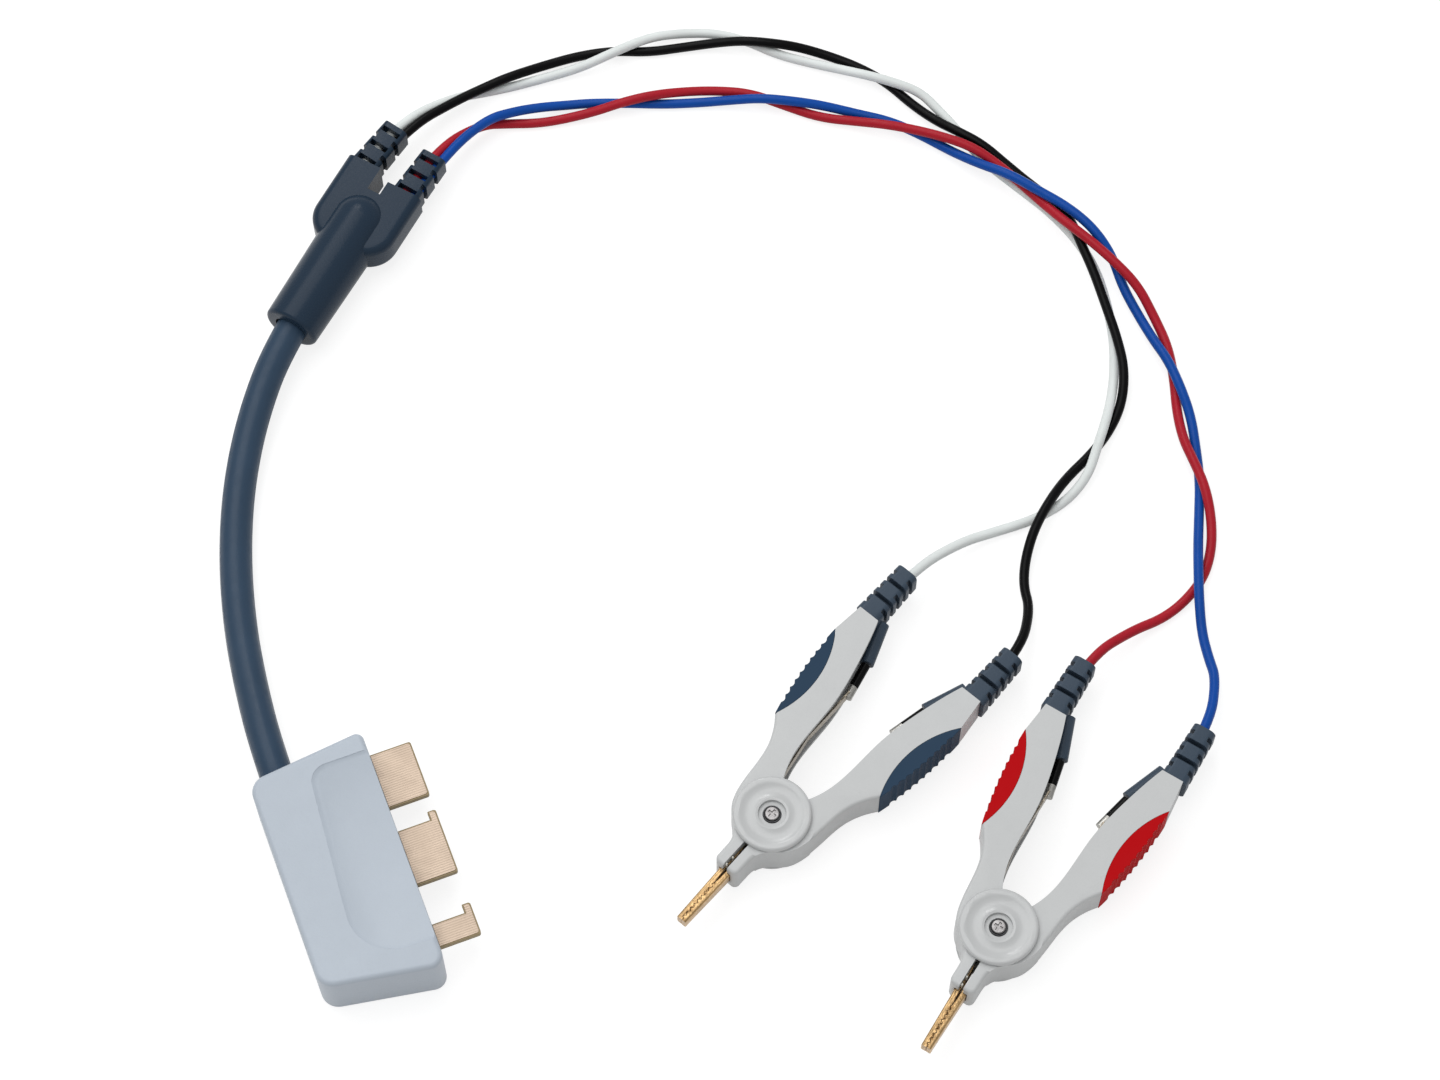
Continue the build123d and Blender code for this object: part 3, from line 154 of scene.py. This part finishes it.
# Each clip: colour name, pivot, turn
CLIPS = (("grey", GREY_PIVOT, GREY_TURN), ("red", RED_PIVOT, RED_TURN))

# The stretch of each lead that runs to a moving arm: its body, where it starts and ends
BLACK_GIVE = ("grey_clip_lever", (0.072, 0.012, 0.003), (0.060, -0.026, 0.0064))
BLUE_GIVE = ("red_clip_lever", (0.1065, -0.002, 0.003), (0.1035, -0.043, 0.0064))

# In each clip's own frame, in millimetres: the two legs of its spring, and its jaw rivets
SPRING_FIXED_LEG, SPRING_MOVING_LEG = (5.6, -1.3, 4.4), (10.6, -6.2, 4.4)
RIVET_X, RIVET_Y = (-12.8, -14.8), 0.30
RIVET_FOOT, RIVET_TOP = 8.4, 10.6

# Shares: a rivet's shank of its head's diameter, and the discs' rounding of the moulded edge
SHANK_SHARE = 0.42
DISC_EDGE_SHARE = 0.6

# On the jaws, in metres from the pivot or the centre line, where the painted shade between the
# teeth and along the creases lies
TEETH_FROM = 0.0175
TEETH_FADE = 0.002
CREASE_AT = 0.00078

# On the fingers, in metres
LINE_PITCH = 0.00055
WAVES_PER_SCALE = 0.314

# Closer points are one point, smaller turns are flat, and larger turns are a corner
WELD = 0.000002
FLAT_ANGLE = math.radians(0.4)
SHARP_ANGLE = math.radians(28.0)

# Lamps: side, place and share of the lamp power
KEY_LAMP = (1.1, (-0.35, 0.30, 1.15), 1.0)
BACK_LAMP = (0.30, (-0.15, 0.90, 0.85), 0.22)

# Height of the floor, just clear of the leads that lie on it
FLOOR_HEIGHT = -0.0002


class LeadSizes(PropertyGroup):
    cable_diameter: FloatProperty(
        name="Cable diameter", description="Outside diameter of the main cable",
        default=0.0075, min=0.003, unit="LENGTH")
    lead_diameter: FloatProperty(
        name="Lead diameter", description="Outside diameter of each thin lead",
        default=0.0023, min=0.001, unit="LENGTH")
    moulded_edge: FloatProperty(
        name="Moulded edge", description="Rounding of the edges of the moulded pieces",
        default=0.0003, min=0.0, unit="LENGTH")
    metal_edge: FloatProperty(
        name="Metal edge", description="Rounding of the edges of the metal pieces",
        default=0.00006, min=0.0, unit="LENGTH")
    rivet_diameter: FloatProperty(
        name="Rivet diameter", description="Diameter of the rivet heads on the fixed jaws",
        default=0.00058, min=0.0001, unit="LENGTH")
    ring_sides: IntProperty(
        name="Ring sides", description="Sides of a lead's round section",
        default=20, min=8)


class LeadColours(PropertyGroup):
    plug_shell: FloatVectorProperty(
        name="Plug shell", description="Pale blue-grey of the plug's housing",
        subtype="COLOR", default=(0.490, 0.548, 0.618), min=0.0, max=1.0)
    clip_plastic: FloatVectorProperty(
        name="Clip plastic", description="Light grey of the clip arms and discs",
        subtype="COLOR", default=(0.580, 0.592, 0.594), min=0.0, max=1.0)
    slate: FloatVectorProperty(
        name="Slate", description="Dark blue-grey of the cable, splitter and grips",
        subtype="COLOR", default=(0.030, 0.059, 0.102), min=0.0, max=1.0)
    boot: FloatVectorProperty(
        name="Boot", description="Blue-grey of the slotted lead boots",
        subtype="COLOR", default=(0.043, 0.066, 0.097), min=0.0, max=1.0)
    red_grip: FloatVectorProperty(
        name="Red grip", description="Red of the second clip's grips",
        subtype="COLOR", default=(0.500, 0.003, 0.006), min=0.0, max=1.0)
    white_lead: FloatVectorProperty(
        name="White lead", description="Jacket colour", subtype="COLOR",
        default=(0.78, 0.82, 0.81), min=0.0, max=1.0)
    black_lead: FloatVectorProperty(
        name="Black lead", description="Jacket colour", subtype="COLOR",
        default=(0.0025, 0.0025, 0.003), min=0.0, max=1.0)
    red_lead: FloatVectorProperty(
        name="Red lead", description="Jacket colour", subtype="COLOR",
        default=(0.42, 0.012, 0.025), min=0.0, max=1.0)
    blue_lead: FloatVectorProperty(
        name="Blue lead", description="Jacket colour", subtype="COLOR",
        default=(0.003, 0.068, 0.36), min=0.0, max=1.0)
    pale_gold: FloatVectorProperty(
        name="Pale gold", description="Plating of the contact fingers",
        subtype="COLOR", default=(0.475, 0.380, 0.300), min=0.0, max=1.0)
    jaw_gold: FloatVectorProperty(
        name="Jaw gold", description="Plating of the jaws",
        subtype="COLOR", default=(0.50, 0.33, 0.16), min=0.0, max=1.0)


class StageSettings(PropertyGroup):
    camera_lens: FloatProperty(
        name="Lens", description="Focal length in millimetres on a 36 mm sensor", default=97.5)
    camera_spot: FloatVectorProperty(
        name="Camera", description="Where the camera stands", subtype="TRANSLATION",
        unit="LENGTH", default=(-0.003, -0.3543, 0.8159))
    camera_target: FloatVectorProperty(
        name="Target", description="What the camera looks at", subtype="TRANSLATION",
        unit="LENGTH", default=(-0.003, 0.009, 0.0))
    floor_size: FloatProperty(
        name="Floor", description="Side of the pale floor", default=3.0, unit="LENGTH")
    lamp_power: FloatProperty(
        name="Lamp", description="Power of the large soft lamp", default=7.5, min=0.0)
    sky: FloatProperty(
        name="Sky", description="Strength of the even white surround", default=0.52, min=0.0)


def settings():
    return bpy.context.scene.test_lead


class TestLead(PropertyGroup):
    sizes: PointerProperty(type=LeadSizes)
    colours: PointerProperty(type=LeadColours)
    stage: PointerProperty(type=StageSettings)


# Materials

class Level:
    """What changes over a surface. Arithmetic on it adds Math nodes to its tree."""

    def __init__(self, tree, socket):
        self.tree = tree
        self.socket = socket

    def reckon(self, operation, first, second):
        return self.tree.node("Math", {"operation": operation}, {0: first, 1: second})

    def __add__(self, other):
        return self.reckon("ADD", self, other)

    def __radd__(self, other):
        return self.reckon("ADD", other, self)

    def __sub__(self, other):
        return self.reckon("SUBTRACT", self, other)

    def __rsub__(self, other):
        return self.reckon("SUBTRACT", other, self)

    def __mul__(self, other):
        return self.reckon("MULTIPLY", self, other)

    def __rmul__(self, other):
        return self.reckon("MULTIPLY", other, self)

    def __abs__(self):
        return self.reckon("ABSOLUTE", self, 0.0)


class Tree:
    """The nodes of a material or of the surround."""

    def __init__(self, owner):
        owner.use_nodes = True
        self.nodes = owner.node_tree.nodes
        self.links = owner.node_tree.links

    def node(self, kind, options=None, inputs=None, output=0):
        made = self.nodes.new("ShaderNode" + kind)
        for name, value in (options or {}).items():
            setattr(made, name, value)
        for name, value in (inputs or {}).items():
            self.feed(made.inputs[name], value)
        return Level(self, made.outputs[output])

    def feed(self, socket, value):
        if isinstance(value, Level):
            self.links.new(value.socket, socket)
        elif socket.type == "RGBA":
            socket.default_value = (*value, 1.0)
        else:
            socket.default_value = value


class Finish(Tree):
    """A material under construction, with the few moves that the finishes share."""

    def __init__(self, name):
        self.material = bpy.data.materials.new(name)
        super().__init__(self.material)
        self.shader = self.nodes["Principled BSDF"]
        self.place = self.node("TexCoord", output="Object")

    def noise(self, scale, detail):
        return self.node("TexNoise", None, {"Vector": self.place, "Scale": scale,
                                            "Detail": detail}, "Fac")

    def spread(self, level, low, high, start=0.3, end=0.7):
        return self.node("MapRange", None, {"Value": level, "From Min": start, "From Max": end,
                                            "To Min": low, "To Max": high}, "Result")

    def mix(self, share, first, second):
        return self.node("Mix", {"data_type": "RGBA"}, {0: share, 6: first, 7: second}, 2)

    def in_frame(self, spot, angle):
        # Object coordinates seen from a piece's own spot and heading
        return self.node("Mapping", {"vector_type": "TEXTURE"},
                         {"Vector": self.place, "Location": (*spot, 0.0),
                          "Rotation": (0.0, 0.0, math.radians(angle))})

    def along(self, vector, axis):
        return self.node("SeparateXYZ", None, {"Vector": vector}, axis)

    def surface(self, colour, roughness, height, depth, **plain):
        self.feed(self.shader.inputs["Base Color"], colour)
        self.feed(self.shader.inputs["Roughness"], roughness)
        self.feed(self.shader.inputs["Normal"],
                  self.node("Bump", None, {"Height": height, "Distance": depth}, "Normal"))
        for name, value in plain.items():
            self.shader.inputs[name.replace("_", " ")].default_value = value
        return self.material


def shade(colour, share):
    return tuple(min(1.0, channel * share) for channel in colour)


def moulded(name, colour, roughness, grain=2600.0, depth=0.00002, gloss=0.35):
    """Injection-moulded plastic: a faint flow variation and a fine spark-eroded grain."""
    finish = Finish(name)
    flow = finish.spread(finish.noise(28.0, 4.0) * 0.7 + finish.noise(230.0, 3.0) * 0.3, 0.0, 1.0)
    fine = finish.noise(grain, 3.0)
    tone = finish.mix(flow, shade(colour, 0.965), shade(colour, 1.035))
    tone = finish.mix(finish.spread(fine, 0.10, 0.0, 0.3, 0.5), tone, shade(colour, 0.82))
    dull = finish.spread(fine, roughness + 0.06, roughness - 0.06) + flow * 0.04
    return finish.surface(tone, dull, fine, depth, Specular_IOR_Level=gloss)


def soft_rubber(name, colour):
    """Over-moulded soft rubber: dull, with a faint dusty bloom."""
    finish = Finish(name)
    bloom = finish.spread(finish.noise(160.0, 5.0), 0.0, 1.0)
    fine = finish.noise(3400.0, 2.0)
    dusty = tuple(0.98 * channel + 0.003 for channel in colour)
    tone = finish.mix(bloom, colour, dusty)
    return finish.surface(tone, finish.spread(fine, 0.62, 0.48), fine, 0.00002,
                          Specular_IOR_Level=0.04)


def jacket(name, colour, roughness=0.34, gloss=0.16):
    """Extruded cable jacket: smooth and slightly glossy, with faint ripples and handling marks."""
    finish = Finish(name)
    drift = finish.spread(finish.noise(90.0, 3.0), 0.0, 1.0)
    marks = finish.spread(finish.noise(420.0, 3.0), 0.0, 1.0, 0.45, 0.75)
    tone = finish.mix(drift, shade(colour, 0.94), shade(colour, 1.06))
    dull = roughness + marks * 0.14
    return finish.surface(tone, dull, finish.noise(700.0, 2.0), 0.00003, Specular_IOR_Level=gloss)


def lined_gold(name, colour, spot, angle):
    """Matt gold on the contact fingers, with fine lines along their reach, faded in patches."""
    finish = Finish(name)
    where = finish.in_frame(spot, angle)
    wave = finish.node("TexWave", {"bands_direction": "X"},
                       {"Vector": where, "Scale": WAVES_PER_SCALE / LINE_PITCH,
                        "Distortion": 0.25, "Detail": 2.0, "Detail Scale": 3.0}, "Fac")
    line = finish.spread(wave, 0.0, 1.0, 0.05, 0.45)
    cloud = finish.spread(finish.noise(240.0, 4.0), 0.0, 1.0)
    patch = finish.spread(finish.noise(110.0, 2.0), 0.25, 1.0, 0.35, 0.65)
    tone = finish.mix(cloud, shade(colour, 0.95), shade(colour, 1.04))
    tone = finish.mix(line + (1 - patch) * (1 - line), shade(colour, 0.80), tone)
    height = line * 0.7 + finish.noise(1900.0, 3.0) * 0.3
    dull = finish.spread(cloud, 0.42, 0.52, 0.0, 1.0)
    return finish.surface(tone, dull, height, 0.00003, Metallic=1.0)


def jaw_gold(name, colour, spot, angle):
    """Bright gold sheet, with painted shade: dark lines along the creases of the folds, down the
    gap between the jaws, and speckled between the teeth.
    """
    finish = Finish(name)
    where = finish.in_frame(spot, angle)
    across = abs(finish.along(where, "Y"))
    back = finish.along(where, "X") * -1.0
    # Painted shade mask: a dark line along the crease on each side of the centre line
    crease_shade = finish.spread(abs(across - CREASE_AT), 1.0, 0.0, 0.00008, 0.00024)
    before_teeth = finish.spread(back, 1.0, 0.0, TEETH_FROM, TEETH_FROM + TEETH_FADE)
    at_teeth = finish.spread(back, 0.0, 1.0, TEETH_FROM, TEETH_FROM + TEETH_FADE)
    # Painted shade mask: the gap between the two jaws, up to the teeth
    gap_shade = finish.spread(across, 1.0, 0.0, 0.00026, 0.00042) * before_teeth
    # Painted shade mask: the crevices between the teeth, near the centre line
    teeth_shade = finish.spread(across, 1.0, 0.0, 0.00012, 0.00070) * at_teeth
    speck = finish.spread(finish.noise(1300.0, 4.0), 0.0, 1.0, 0.38, 0.62)
    cloud = finish.spread(finish.noise(300.0, 4.0), 0.0, 1.0)
    tone = finish.mix(cloud, shade(colour, 0.86), shade(colour, 1.16))
    # Painted shade: darken the gold along the creases
    tone = finish.mix(crease_shade * 0.6, tone, shade(colour, 0.40))
    # Painted shade: speckled dark brown between the teeth
    tone = finish.mix(teeth_shade * speck * 0.9, tone, (0.11, 0.05, 0.015))
    # Painted shade: dark brown down the gap between the jaws
    tone = finish.mix(gap_shade * 0.9, tone, (0.06, 0.028, 0.010))
    tone = finish.mix(finish.spread(back, 0.85, 0.0, -0.006, 0.002), tone, (0.30, 0.28, 0.24))
    height = finish.noise(1500.0, 3.0) * 0.5 + speck * 0.5
    dull = finish.spread(speck, 0.20, 0.38, 0.0, 1.0)
    return finish.surface(tone, dull, height, 0.00006, Metallic=1.0)


def bright_metal(name, colour, roughness):
    """Turned or plated steel with fine wear."""
    finish = Finish(name)
    wear = finish.spread(finish.noise(900.0, 5.0), 0.0, 1.0)
    tone = finish.mix(wear, shade(colour, 0.80), shade(colour, 1.06))
    dull = roughness + (1 - wear) * 0.10
    return finish.surface(tone, dull, finish.noise(2600.0, 3.0), 0.000015, Metallic=1.0)


# Pieces


def linked(name, mesh, material):
    mesh.materials.clear()
    mesh.materials.append(material)
    piece = bpy.data.objects.new(name, mesh)
    bpy.context.scene.collection.objects.link(piece)
    return piece


def merged_copy(node, name):
    """A node's solid as one closed, smooth-shaded mesh, with its real corners kept sharp."""
    bm = bmesh.new()
    bm.from_mesh(frame["nodes"][node].data)
    bmesh.ops.remove_doubles(bm, verts=bm.verts, dist=WELD)
    bmesh.ops.dissolve_limit(bm, angle_limit=FLAT_ANGLE, verts=bm.verts, edges=bm.edges,
                             use_dissolve_boundaries=False)
    for face in bm.faces:
        face.smooth = True
    for edge in bm.edges:
        edge.smooth = edge.calc_face_angle(0.0) < SHARP_ANGLE
    mesh = bpy.data.meshes.new(name)
    bm.to_mesh(mesh)
    bm.free()
    custom = mesh.attributes.get("custom_normal")
    if custom:
        mesh.attributes.remove(custom)
    return mesh


def dress(node, material, edge=0.0):
    """Puts a finished piece in a rigid node's place, with its corners rounded by edge."""
    name = node + "_finished"
    piece = linked(name, merged_copy(node, name), material)
    if edge > 0.0:
        bevel = piece.modifiers.new("Rounded edges", "BEVEL")
        bevel.width = edge
        bevel.segments = 2
        bevel.limit_method = "ANGLE"
        bevel.angle_limit = SHARP_ANGLE
        bevel.harden_normals = True
    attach(piece, frame["nodes"][node]["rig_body"])
    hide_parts(node)


def route_curve(name, route, radius, sides):
    curve = bpy.data.curves.new(name, "CURVE")
    curve.dimensions = "3D"
    curve.resolution_u = 8
    curve.bevel_depth = radius
    curve.bevel_resolution = max(0, sides // 4 - 1)
    curve.use_fill_caps = True
    spline = curve.splines.new("NURBS")
    spline.points.add(len(route) - 1)
    for point, spot in zip(spline.points, route):
        point.co = (*spot, 1.0)
    spline.use_smooth = True
    spline.order_u = 3
    spline.use_endpoint_u = True
    return bpy.data.objects.new(name, curve)


def as_mesh(thing):
    graph = bpy.context.evaluated_depsgraph_get()
    return bpy.data.meshes.new_from_object(thing.evaluated_get(graph), depsgraph=graph)


def cord_piece(node, route, diameter, material, blend=None):
    """A cable or lead as a tube along its route's smooth line."""
    name = node + "_jacket"
    sides = settings().sizes.ring_sides
    thing = route_curve(name + "_line", route, diameter / 2, sides)
    bpy.context.scene.collection.objects.link(thing)
    mesh = as_mesh(thing)
    mesh.name = name
    thing.data.bevel_depth = 0.0
    bpy.context.view_layer.update()
    line = [tuple(v.co) for v in as_mesh(thing).vertices]
    bpy.data.objects.remove(thing)
    bm = bmesh.new()
    bm.from_mesh(mesh)
    bmesh.ops.remove_doubles(bm, verts=bm.verts, dist=WELD)
    bmesh.ops.recalc_face_normals(bm, faces=bm.faces)
    for face in bm.faces:
        face.smooth = len(face.verts) == 4
    bm.to_mesh(mesh)
    bm.free()
    piece = linked(name, mesh, material)
    if blend:
        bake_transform(piece)
    else:
        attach(piece, "body")
    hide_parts(node)


def at(pivot, turn, x, y, z):
    """A point given in millimetres in a clip's own frame, as a point of the scene."""
    angle = math.radians(turn)
    return Vector((pivot[0] + (x * math.cos(angle) - y * math.sin(angle)) / 1000,
                   pivot[1] + (x * math.sin(angle) + y * math.cos(angle)) / 1000, z / 1000))


class TESTLEAD_OT_plug(Operator):
    """Finish the plug's shells, screws, contact board and gold fingers"""
    bl_idname = "testlead.plug"
    bl_label = "Plug"

    def execute(self, context):
        colours, sizes = settings().colours, settings().sizes
        shell = moulded("plug shell", colours.plug_shell, 0.36)
        for node in ("plug_top_shell", "plug_bottom_shell"):
            dress(node, shell, sizes.moulded_edge)
        gold = lined_gold("lined gold", colours.pale_gold, PLUG_CORNER, PLUG_TURN)
        for node in ("high_contact", "low_contact", "guard_contact"):
            dress(node, gold, sizes.metal_edge)
        dress("contact_board", moulded("board laminate", (0.33, 0.25, 0.13), 0.5, 1500.0),
              sizes.metal_edge)
        dress("plug_screws", bright_metal("plug screw", (0.55, 0.55, 0.55), 0.3), sizes.metal_edge)
        dress("plug_ferrule", bright_metal("plug ferrule", (0.6, 0.6, 0.6), 0.35))
        return {"FINISHED"}


class TESTLEAD_OT_cable(Operator):
    """Lay the main cable from the plug to the splitter"""
    bl_idname = "testlead.cable"
    bl_label = "Main cable"

    def execute(self, context):
        colours, sizes = settings().colours, settings().sizes
        cord_piece("main_cable", CABLE_ROUTE, sizes.cable_diameter,
                   jacket("cable jacket", colours.slate, 0.34, 0.22))
        return {"FINISHED"}


class TESTLEAD_OT_splitter(Operator):
    """Finish the splitter's moulding and its slotted strain reliefs"""
    bl_idname = "testlead.splitter"
    bl_label = "Splitter"

    def execute(self, context):
        colours, sizes = settings().colours, settings().sizes
        slate = moulded("splitter moulding", shade(colours.slate, 0.55), 0.24, 1900.0, gloss=0.16)
        dress("splitter_moulding", slate, sizes.moulded_edge)
        dress("splitter_ferrule", bright_metal("splitter ferrule", (0.6, 0.6, 0.6), 0.35))
        return {"FINISHED"}


class TESTLEAD_OT_leads(Operator):
    """Lay the four thin leads, twisted in pairs, from the splitter to the clips"""
    bl_idname = "testlead.leads"
    bl_label = "Leads"

    def execute(self, context):
        colours, size = settings().colours, settings().sizes.lead_diameter
        cord_piece("white_lead", WHITE_ROUTE, size, jacket("white jacket", colours.white_lead))
        cord_piece("red_lead", RED_ROUTE, size, jacket("red jacket", colours.red_lead))
        black = jacket("black jacket", colours.black_lead, 0.30, 0.10)
        cord_piece("black_lead", BLACK_ROUTE, size, black, BLACK_GIVE)
        blue = jacket("blue jacket", colours.blue_lead)
        cord_piece("blue_lead", BLUE_ROUTE, size, blue, BLUE_GIVE)
        return {"FINISHED"}


class TESTLEAD_OT_clip_bodies(Operator):
    """Finish the clips' arms, grips, boots, wire ends and sleeves"""
    bl_idname = "testlead.clip_bodies"
    bl_label = "Clip bodies"

    def execute(self, context):
        colours, sizes = settings().colours, settings().sizes
        arm = moulded("clip plastic", colours.clip_plastic, 0.38)
        boot = moulded("boot plastic", colours.boot, 0.42, 1900.0, gloss=0.25)
        sleeve = jacket("heat-shrink", colours.black_lead, 0.30, 0.12)
        crimp = bright_metal("crimp", (0.52, 0.51, 0.48), 0.42)
        grips = {
            "grey": soft_rubber("slate rubber", colours.slate),
            "red": soft_rubber("red rubber", colours.red_grip),
        }
        for clip, grip in grips.items():
            for side in ("fixed", "moving"):
                dress(f"{clip}_{side}_arm", arm, sizes.moulded_edge)
                dress(f"{clip}_{side}_grip", grip, sizes.moulded_edge)
                dress(f"{clip}_{side}_boot", boot, sizes.moulded_edge)
                dress(f"{clip}_{side}_shrink_sleeve", sleeve)
                dress(f"{clip}_{side}_crimp", crimp)
        return {"FINISHED"}


class TESTLEAD_OT_jaws(Operator):
    """Finish the toothed gold jaws and their contact strips"""
    bl_idname = "testlead.jaws"
    bl_label = "Jaws"

    def execute(self, context):
        colours, sizes = settings().colours, settings().sizes
        for clip, pivot, turn in CLIPS:
            gold = jaw_gold(f"{clip} jaw gold", colours.jaw_gold, pivot, turn)
            for side in ("fixed", "moving"):
                dress(f"{clip}_{side}_jaw", gold, sizes.metal_edge)
            self.rivets(clip, pivot, turn, sizes.rivet_diameter)
        return {"FINISHED"}

    def rivets(self, clip, pivot, turn, diameter):
        # Two bright round-headed rivets on the fixed jaw, in the slot between the noses
        name = f"{clip}_jaw_rivets"
        shank = diameter * SHANK_SHARE
        bm = bmesh.new()
        for x in RIVET_X:
            middle = at(pivot, turn, x, RIVET_Y, (RIVET_FOOT + RIVET_TOP) / 2)
            head = at(pivot, turn, x, RIVET_Y, RIVET_TOP)
            bmesh.ops.create_cone(bm, cap_ends=True, segments=20, radius1=shank, radius2=shank,
                                  depth=(RIVET_TOP - RIVET_FOOT) / 1000,
                                  matrix=Matrix.Translation(middle))
            bmesh.ops.create_uvsphere(bm, u_segments=20, v_segments=12, radius=diameter / 2,
                                      matrix=Matrix.Translation(head))
        for face in bm.faces:
            face.smooth = True
        mesh = bpy.data.meshes.new(name)
        bm.to_mesh(mesh)
        bm.free()
        piece = linked(name, mesh, bright_metal(f"{clip} rivet", (0.95, 0.92, 0.84), 0.35))
        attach(piece, "body")


class TESTLEAD_OT_pivots(Operator):
    """Finish the pivots: dished discs, bush, screw, nut and torsion spring"""
    bl_idname = "testlead.pivots"
    bl_label = "Pivots"

    def execute(self, context):
        colours, sizes = settings().colours, settings().sizes
        disc = moulded("disc plastic", shade(colours.clip_plastic, 0.95), 0.20,
                       depth=0.000008, gloss=0.5)
        steel = bright_metal("pivot steel", (0.29, 0.28, 0.28), 0.22)
        ring = bright_metal("bush metal", (0.05, 0.05, 0.053), 0.30)
        spring = bright_metal("spring wire", (0.35, 0.35, 0.36), 0.3)
        disc_edge = sizes.moulded_edge * DISC_EDGE_SHARE
        for clip, pivot, turn in CLIPS:
            dress(f"{clip}_top_disc", disc, disc_edge)
            dress(f"{clip}_bottom_disc", disc, disc_edge)
            dress(f"{clip}_pivot_bush", ring, sizes.metal_edge)
            dress(f"{clip}_pivot_screw", steel, sizes.metal_edge)
            dress(f"{clip}_pivot_nut", steel, sizes.metal_edge)
            node = f"{clip}_torsion_spring"
            piece = linked(node + "_wire", merged_copy(node, node + "_wire"), spring)
            at(pivot, turn, *SPRING_FIXED_LEG)
            at(pivot, turn, *SPRING_MOVING_LEG)
            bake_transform(piece)
            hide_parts(node)
        return {"FINISHED"}


class TESTLEAD_OT_stage(Operator):
    """Set the pale floor, the soft light and the camera"""
    bl_idname = "testlead.stage"
    bl_label = "Stage"

    def execute(self, context):
        stage = settings().stage
        scene = context.scene
        scene.view_settings.view_transform = "Standard"
        bm = bmesh.new()
        bmesh.ops.create_grid(bm, x_segments=1, y_segments=1, size=stage.floor_size / 2)
        bmesh.ops.translate(bm, verts=bm.verts, vec=(0.0, 0.0, FLOOR_HEIGHT))
        mesh = bpy.data.meshes.new("floor")
        bm.to_mesh(mesh)
        bm.free()
        floor = linked("floor", mesh, self.floor_material())
        self.surround(scene, stage.sky)
        self.lamp("key lamp", stage.lamp_power, *KEY_LAMP)
        self.lamp("back lamp", stage.lamp_power, *BACK_LAMP)
        camera = bpy.data.objects.new("camera", bpy.data.cameras.new("camera"))
        camera.data.lens = stage.camera_lens
        camera.data.sensor_width = 36.0
        camera.data.clip_start = 0.01
        camera.location = stage.camera_spot
        look = Vector(stage.camera_target) - Vector(stage.camera_spot)
        camera.rotation_euler = look.to_track_quat("-Z", "Y").to_euler()
        scene.collection.objects.link(camera)
        scene.camera = camera
        return {"FINISHED"}

    def floor_material(self):
        finish = Finish("pale floor")
        seen = finish.node("LightPath", output="Is Camera Ray")
        mirrored = finish.node("LightPath", output="Is Glossy Ray")
        glow = finish.node("Emission", None, {"Color": (1.0, 1.0, 1.0),
                                              "Strength": seen * 0.80 + mirrored * 0.45})
        finish.feed(finish.shader.inputs["Base Color"],
                    finish.mix(seen, (0.68, 0.68, 0.68), (0.32, 0.32, 0.32)))
        finish.feed(finish.shader.inputs["Roughness"], 0.9)
        finish.feed(finish.shader.inputs["Specular IOR Level"], 0.0)
        plain = Level(finish, finish.shader.outputs["BSDF"])
        both = finish.node("AddShader", None, {0: plain, 1: glow})
        finish.feed(finish.nodes["Material Output"].inputs["Surface"], both)
        return finish.material

    def surround(self, scene, strength):
        scene.world = bpy.data.worlds.new("soft surround")
        tree = Tree(scene.world)
        seen = tree.node("LightPath", output="Is Camera Ray")
        background = tree.nodes["Background"]
        tree.feed(background.inputs["Color"], (1.0, 1.0, 1.0))
        tree.feed(background.inputs["Strength"], seen * (1.0 - strength) + strength)

    def lamp(self, name, power, size, spot, share):
        light = bpy.data.lights.new(name, "AREA")
        light.energy = power * share
        light.shape = "SQUARE"
        light.size = size
        thing = bpy.data.objects.new(name, light)
        thing.location = spot
        thing.rotation_euler = (-Vector(spot)).to_track_quat("-Z", "Y").to_euler()
        bpy.context.scene.collection.objects.link(thing)


class TESTLEAD_PT_panel(Panel):
    bl_label = "Test lead"
    bl_idname = "TESTLEAD_PT_panel"
    bl_space_type = "VIEW_3D"
    bl_region_type = "UI"
    bl_category = "Test lead"

    def draw(self, context):
        layout = self.layout
        for group in (settings().sizes, settings().colours, settings().stage):
            box = layout.box()
            for name in group.__annotations__:
                box.prop(group, name)
        for operator in STEPS:
            layout.operator(operator.bl_idname)


STEPS = (
    TESTLEAD_OT_stage,
    TESTLEAD_OT_cable,
    TESTLEAD_OT_leads,
    TESTLEAD_OT_plug,
    TESTLEAD_OT_splitter,
    TESTLEAD_OT_clip_bodies,
    TESTLEAD_OT_jaws,
    TESTLEAD_OT_pivots,
)
CLASSES = (LeadSizes, LeadColours, StageSettings, TestLead, *STEPS, TESTLEAD_PT_panel)


def register():
    for cls in CLASSES:
        bpy.utils.register_class(cls)
    bpy.types.Scene.test_lead = PointerProperty(type=TestLead)


def unregister():
    del bpy.types.Scene.test_lead
    for cls in reversed(CLASSES):
        bpy.utils.unregister_class(cls)


def main():
    register()
    bpy.ops.testlead.stage()
    bpy.ops.testlead.cable()
    bpy.ops.testlead.leads()
    bpy.ops.testlead.plug()
    bpy.ops.testlead.splitter()
    bpy.ops.testlead.clip_bodies()
    bpy.ops.testlead.jaws()
    bpy.ops.testlead.pivots()


if __name__ == "__main__":
    main()
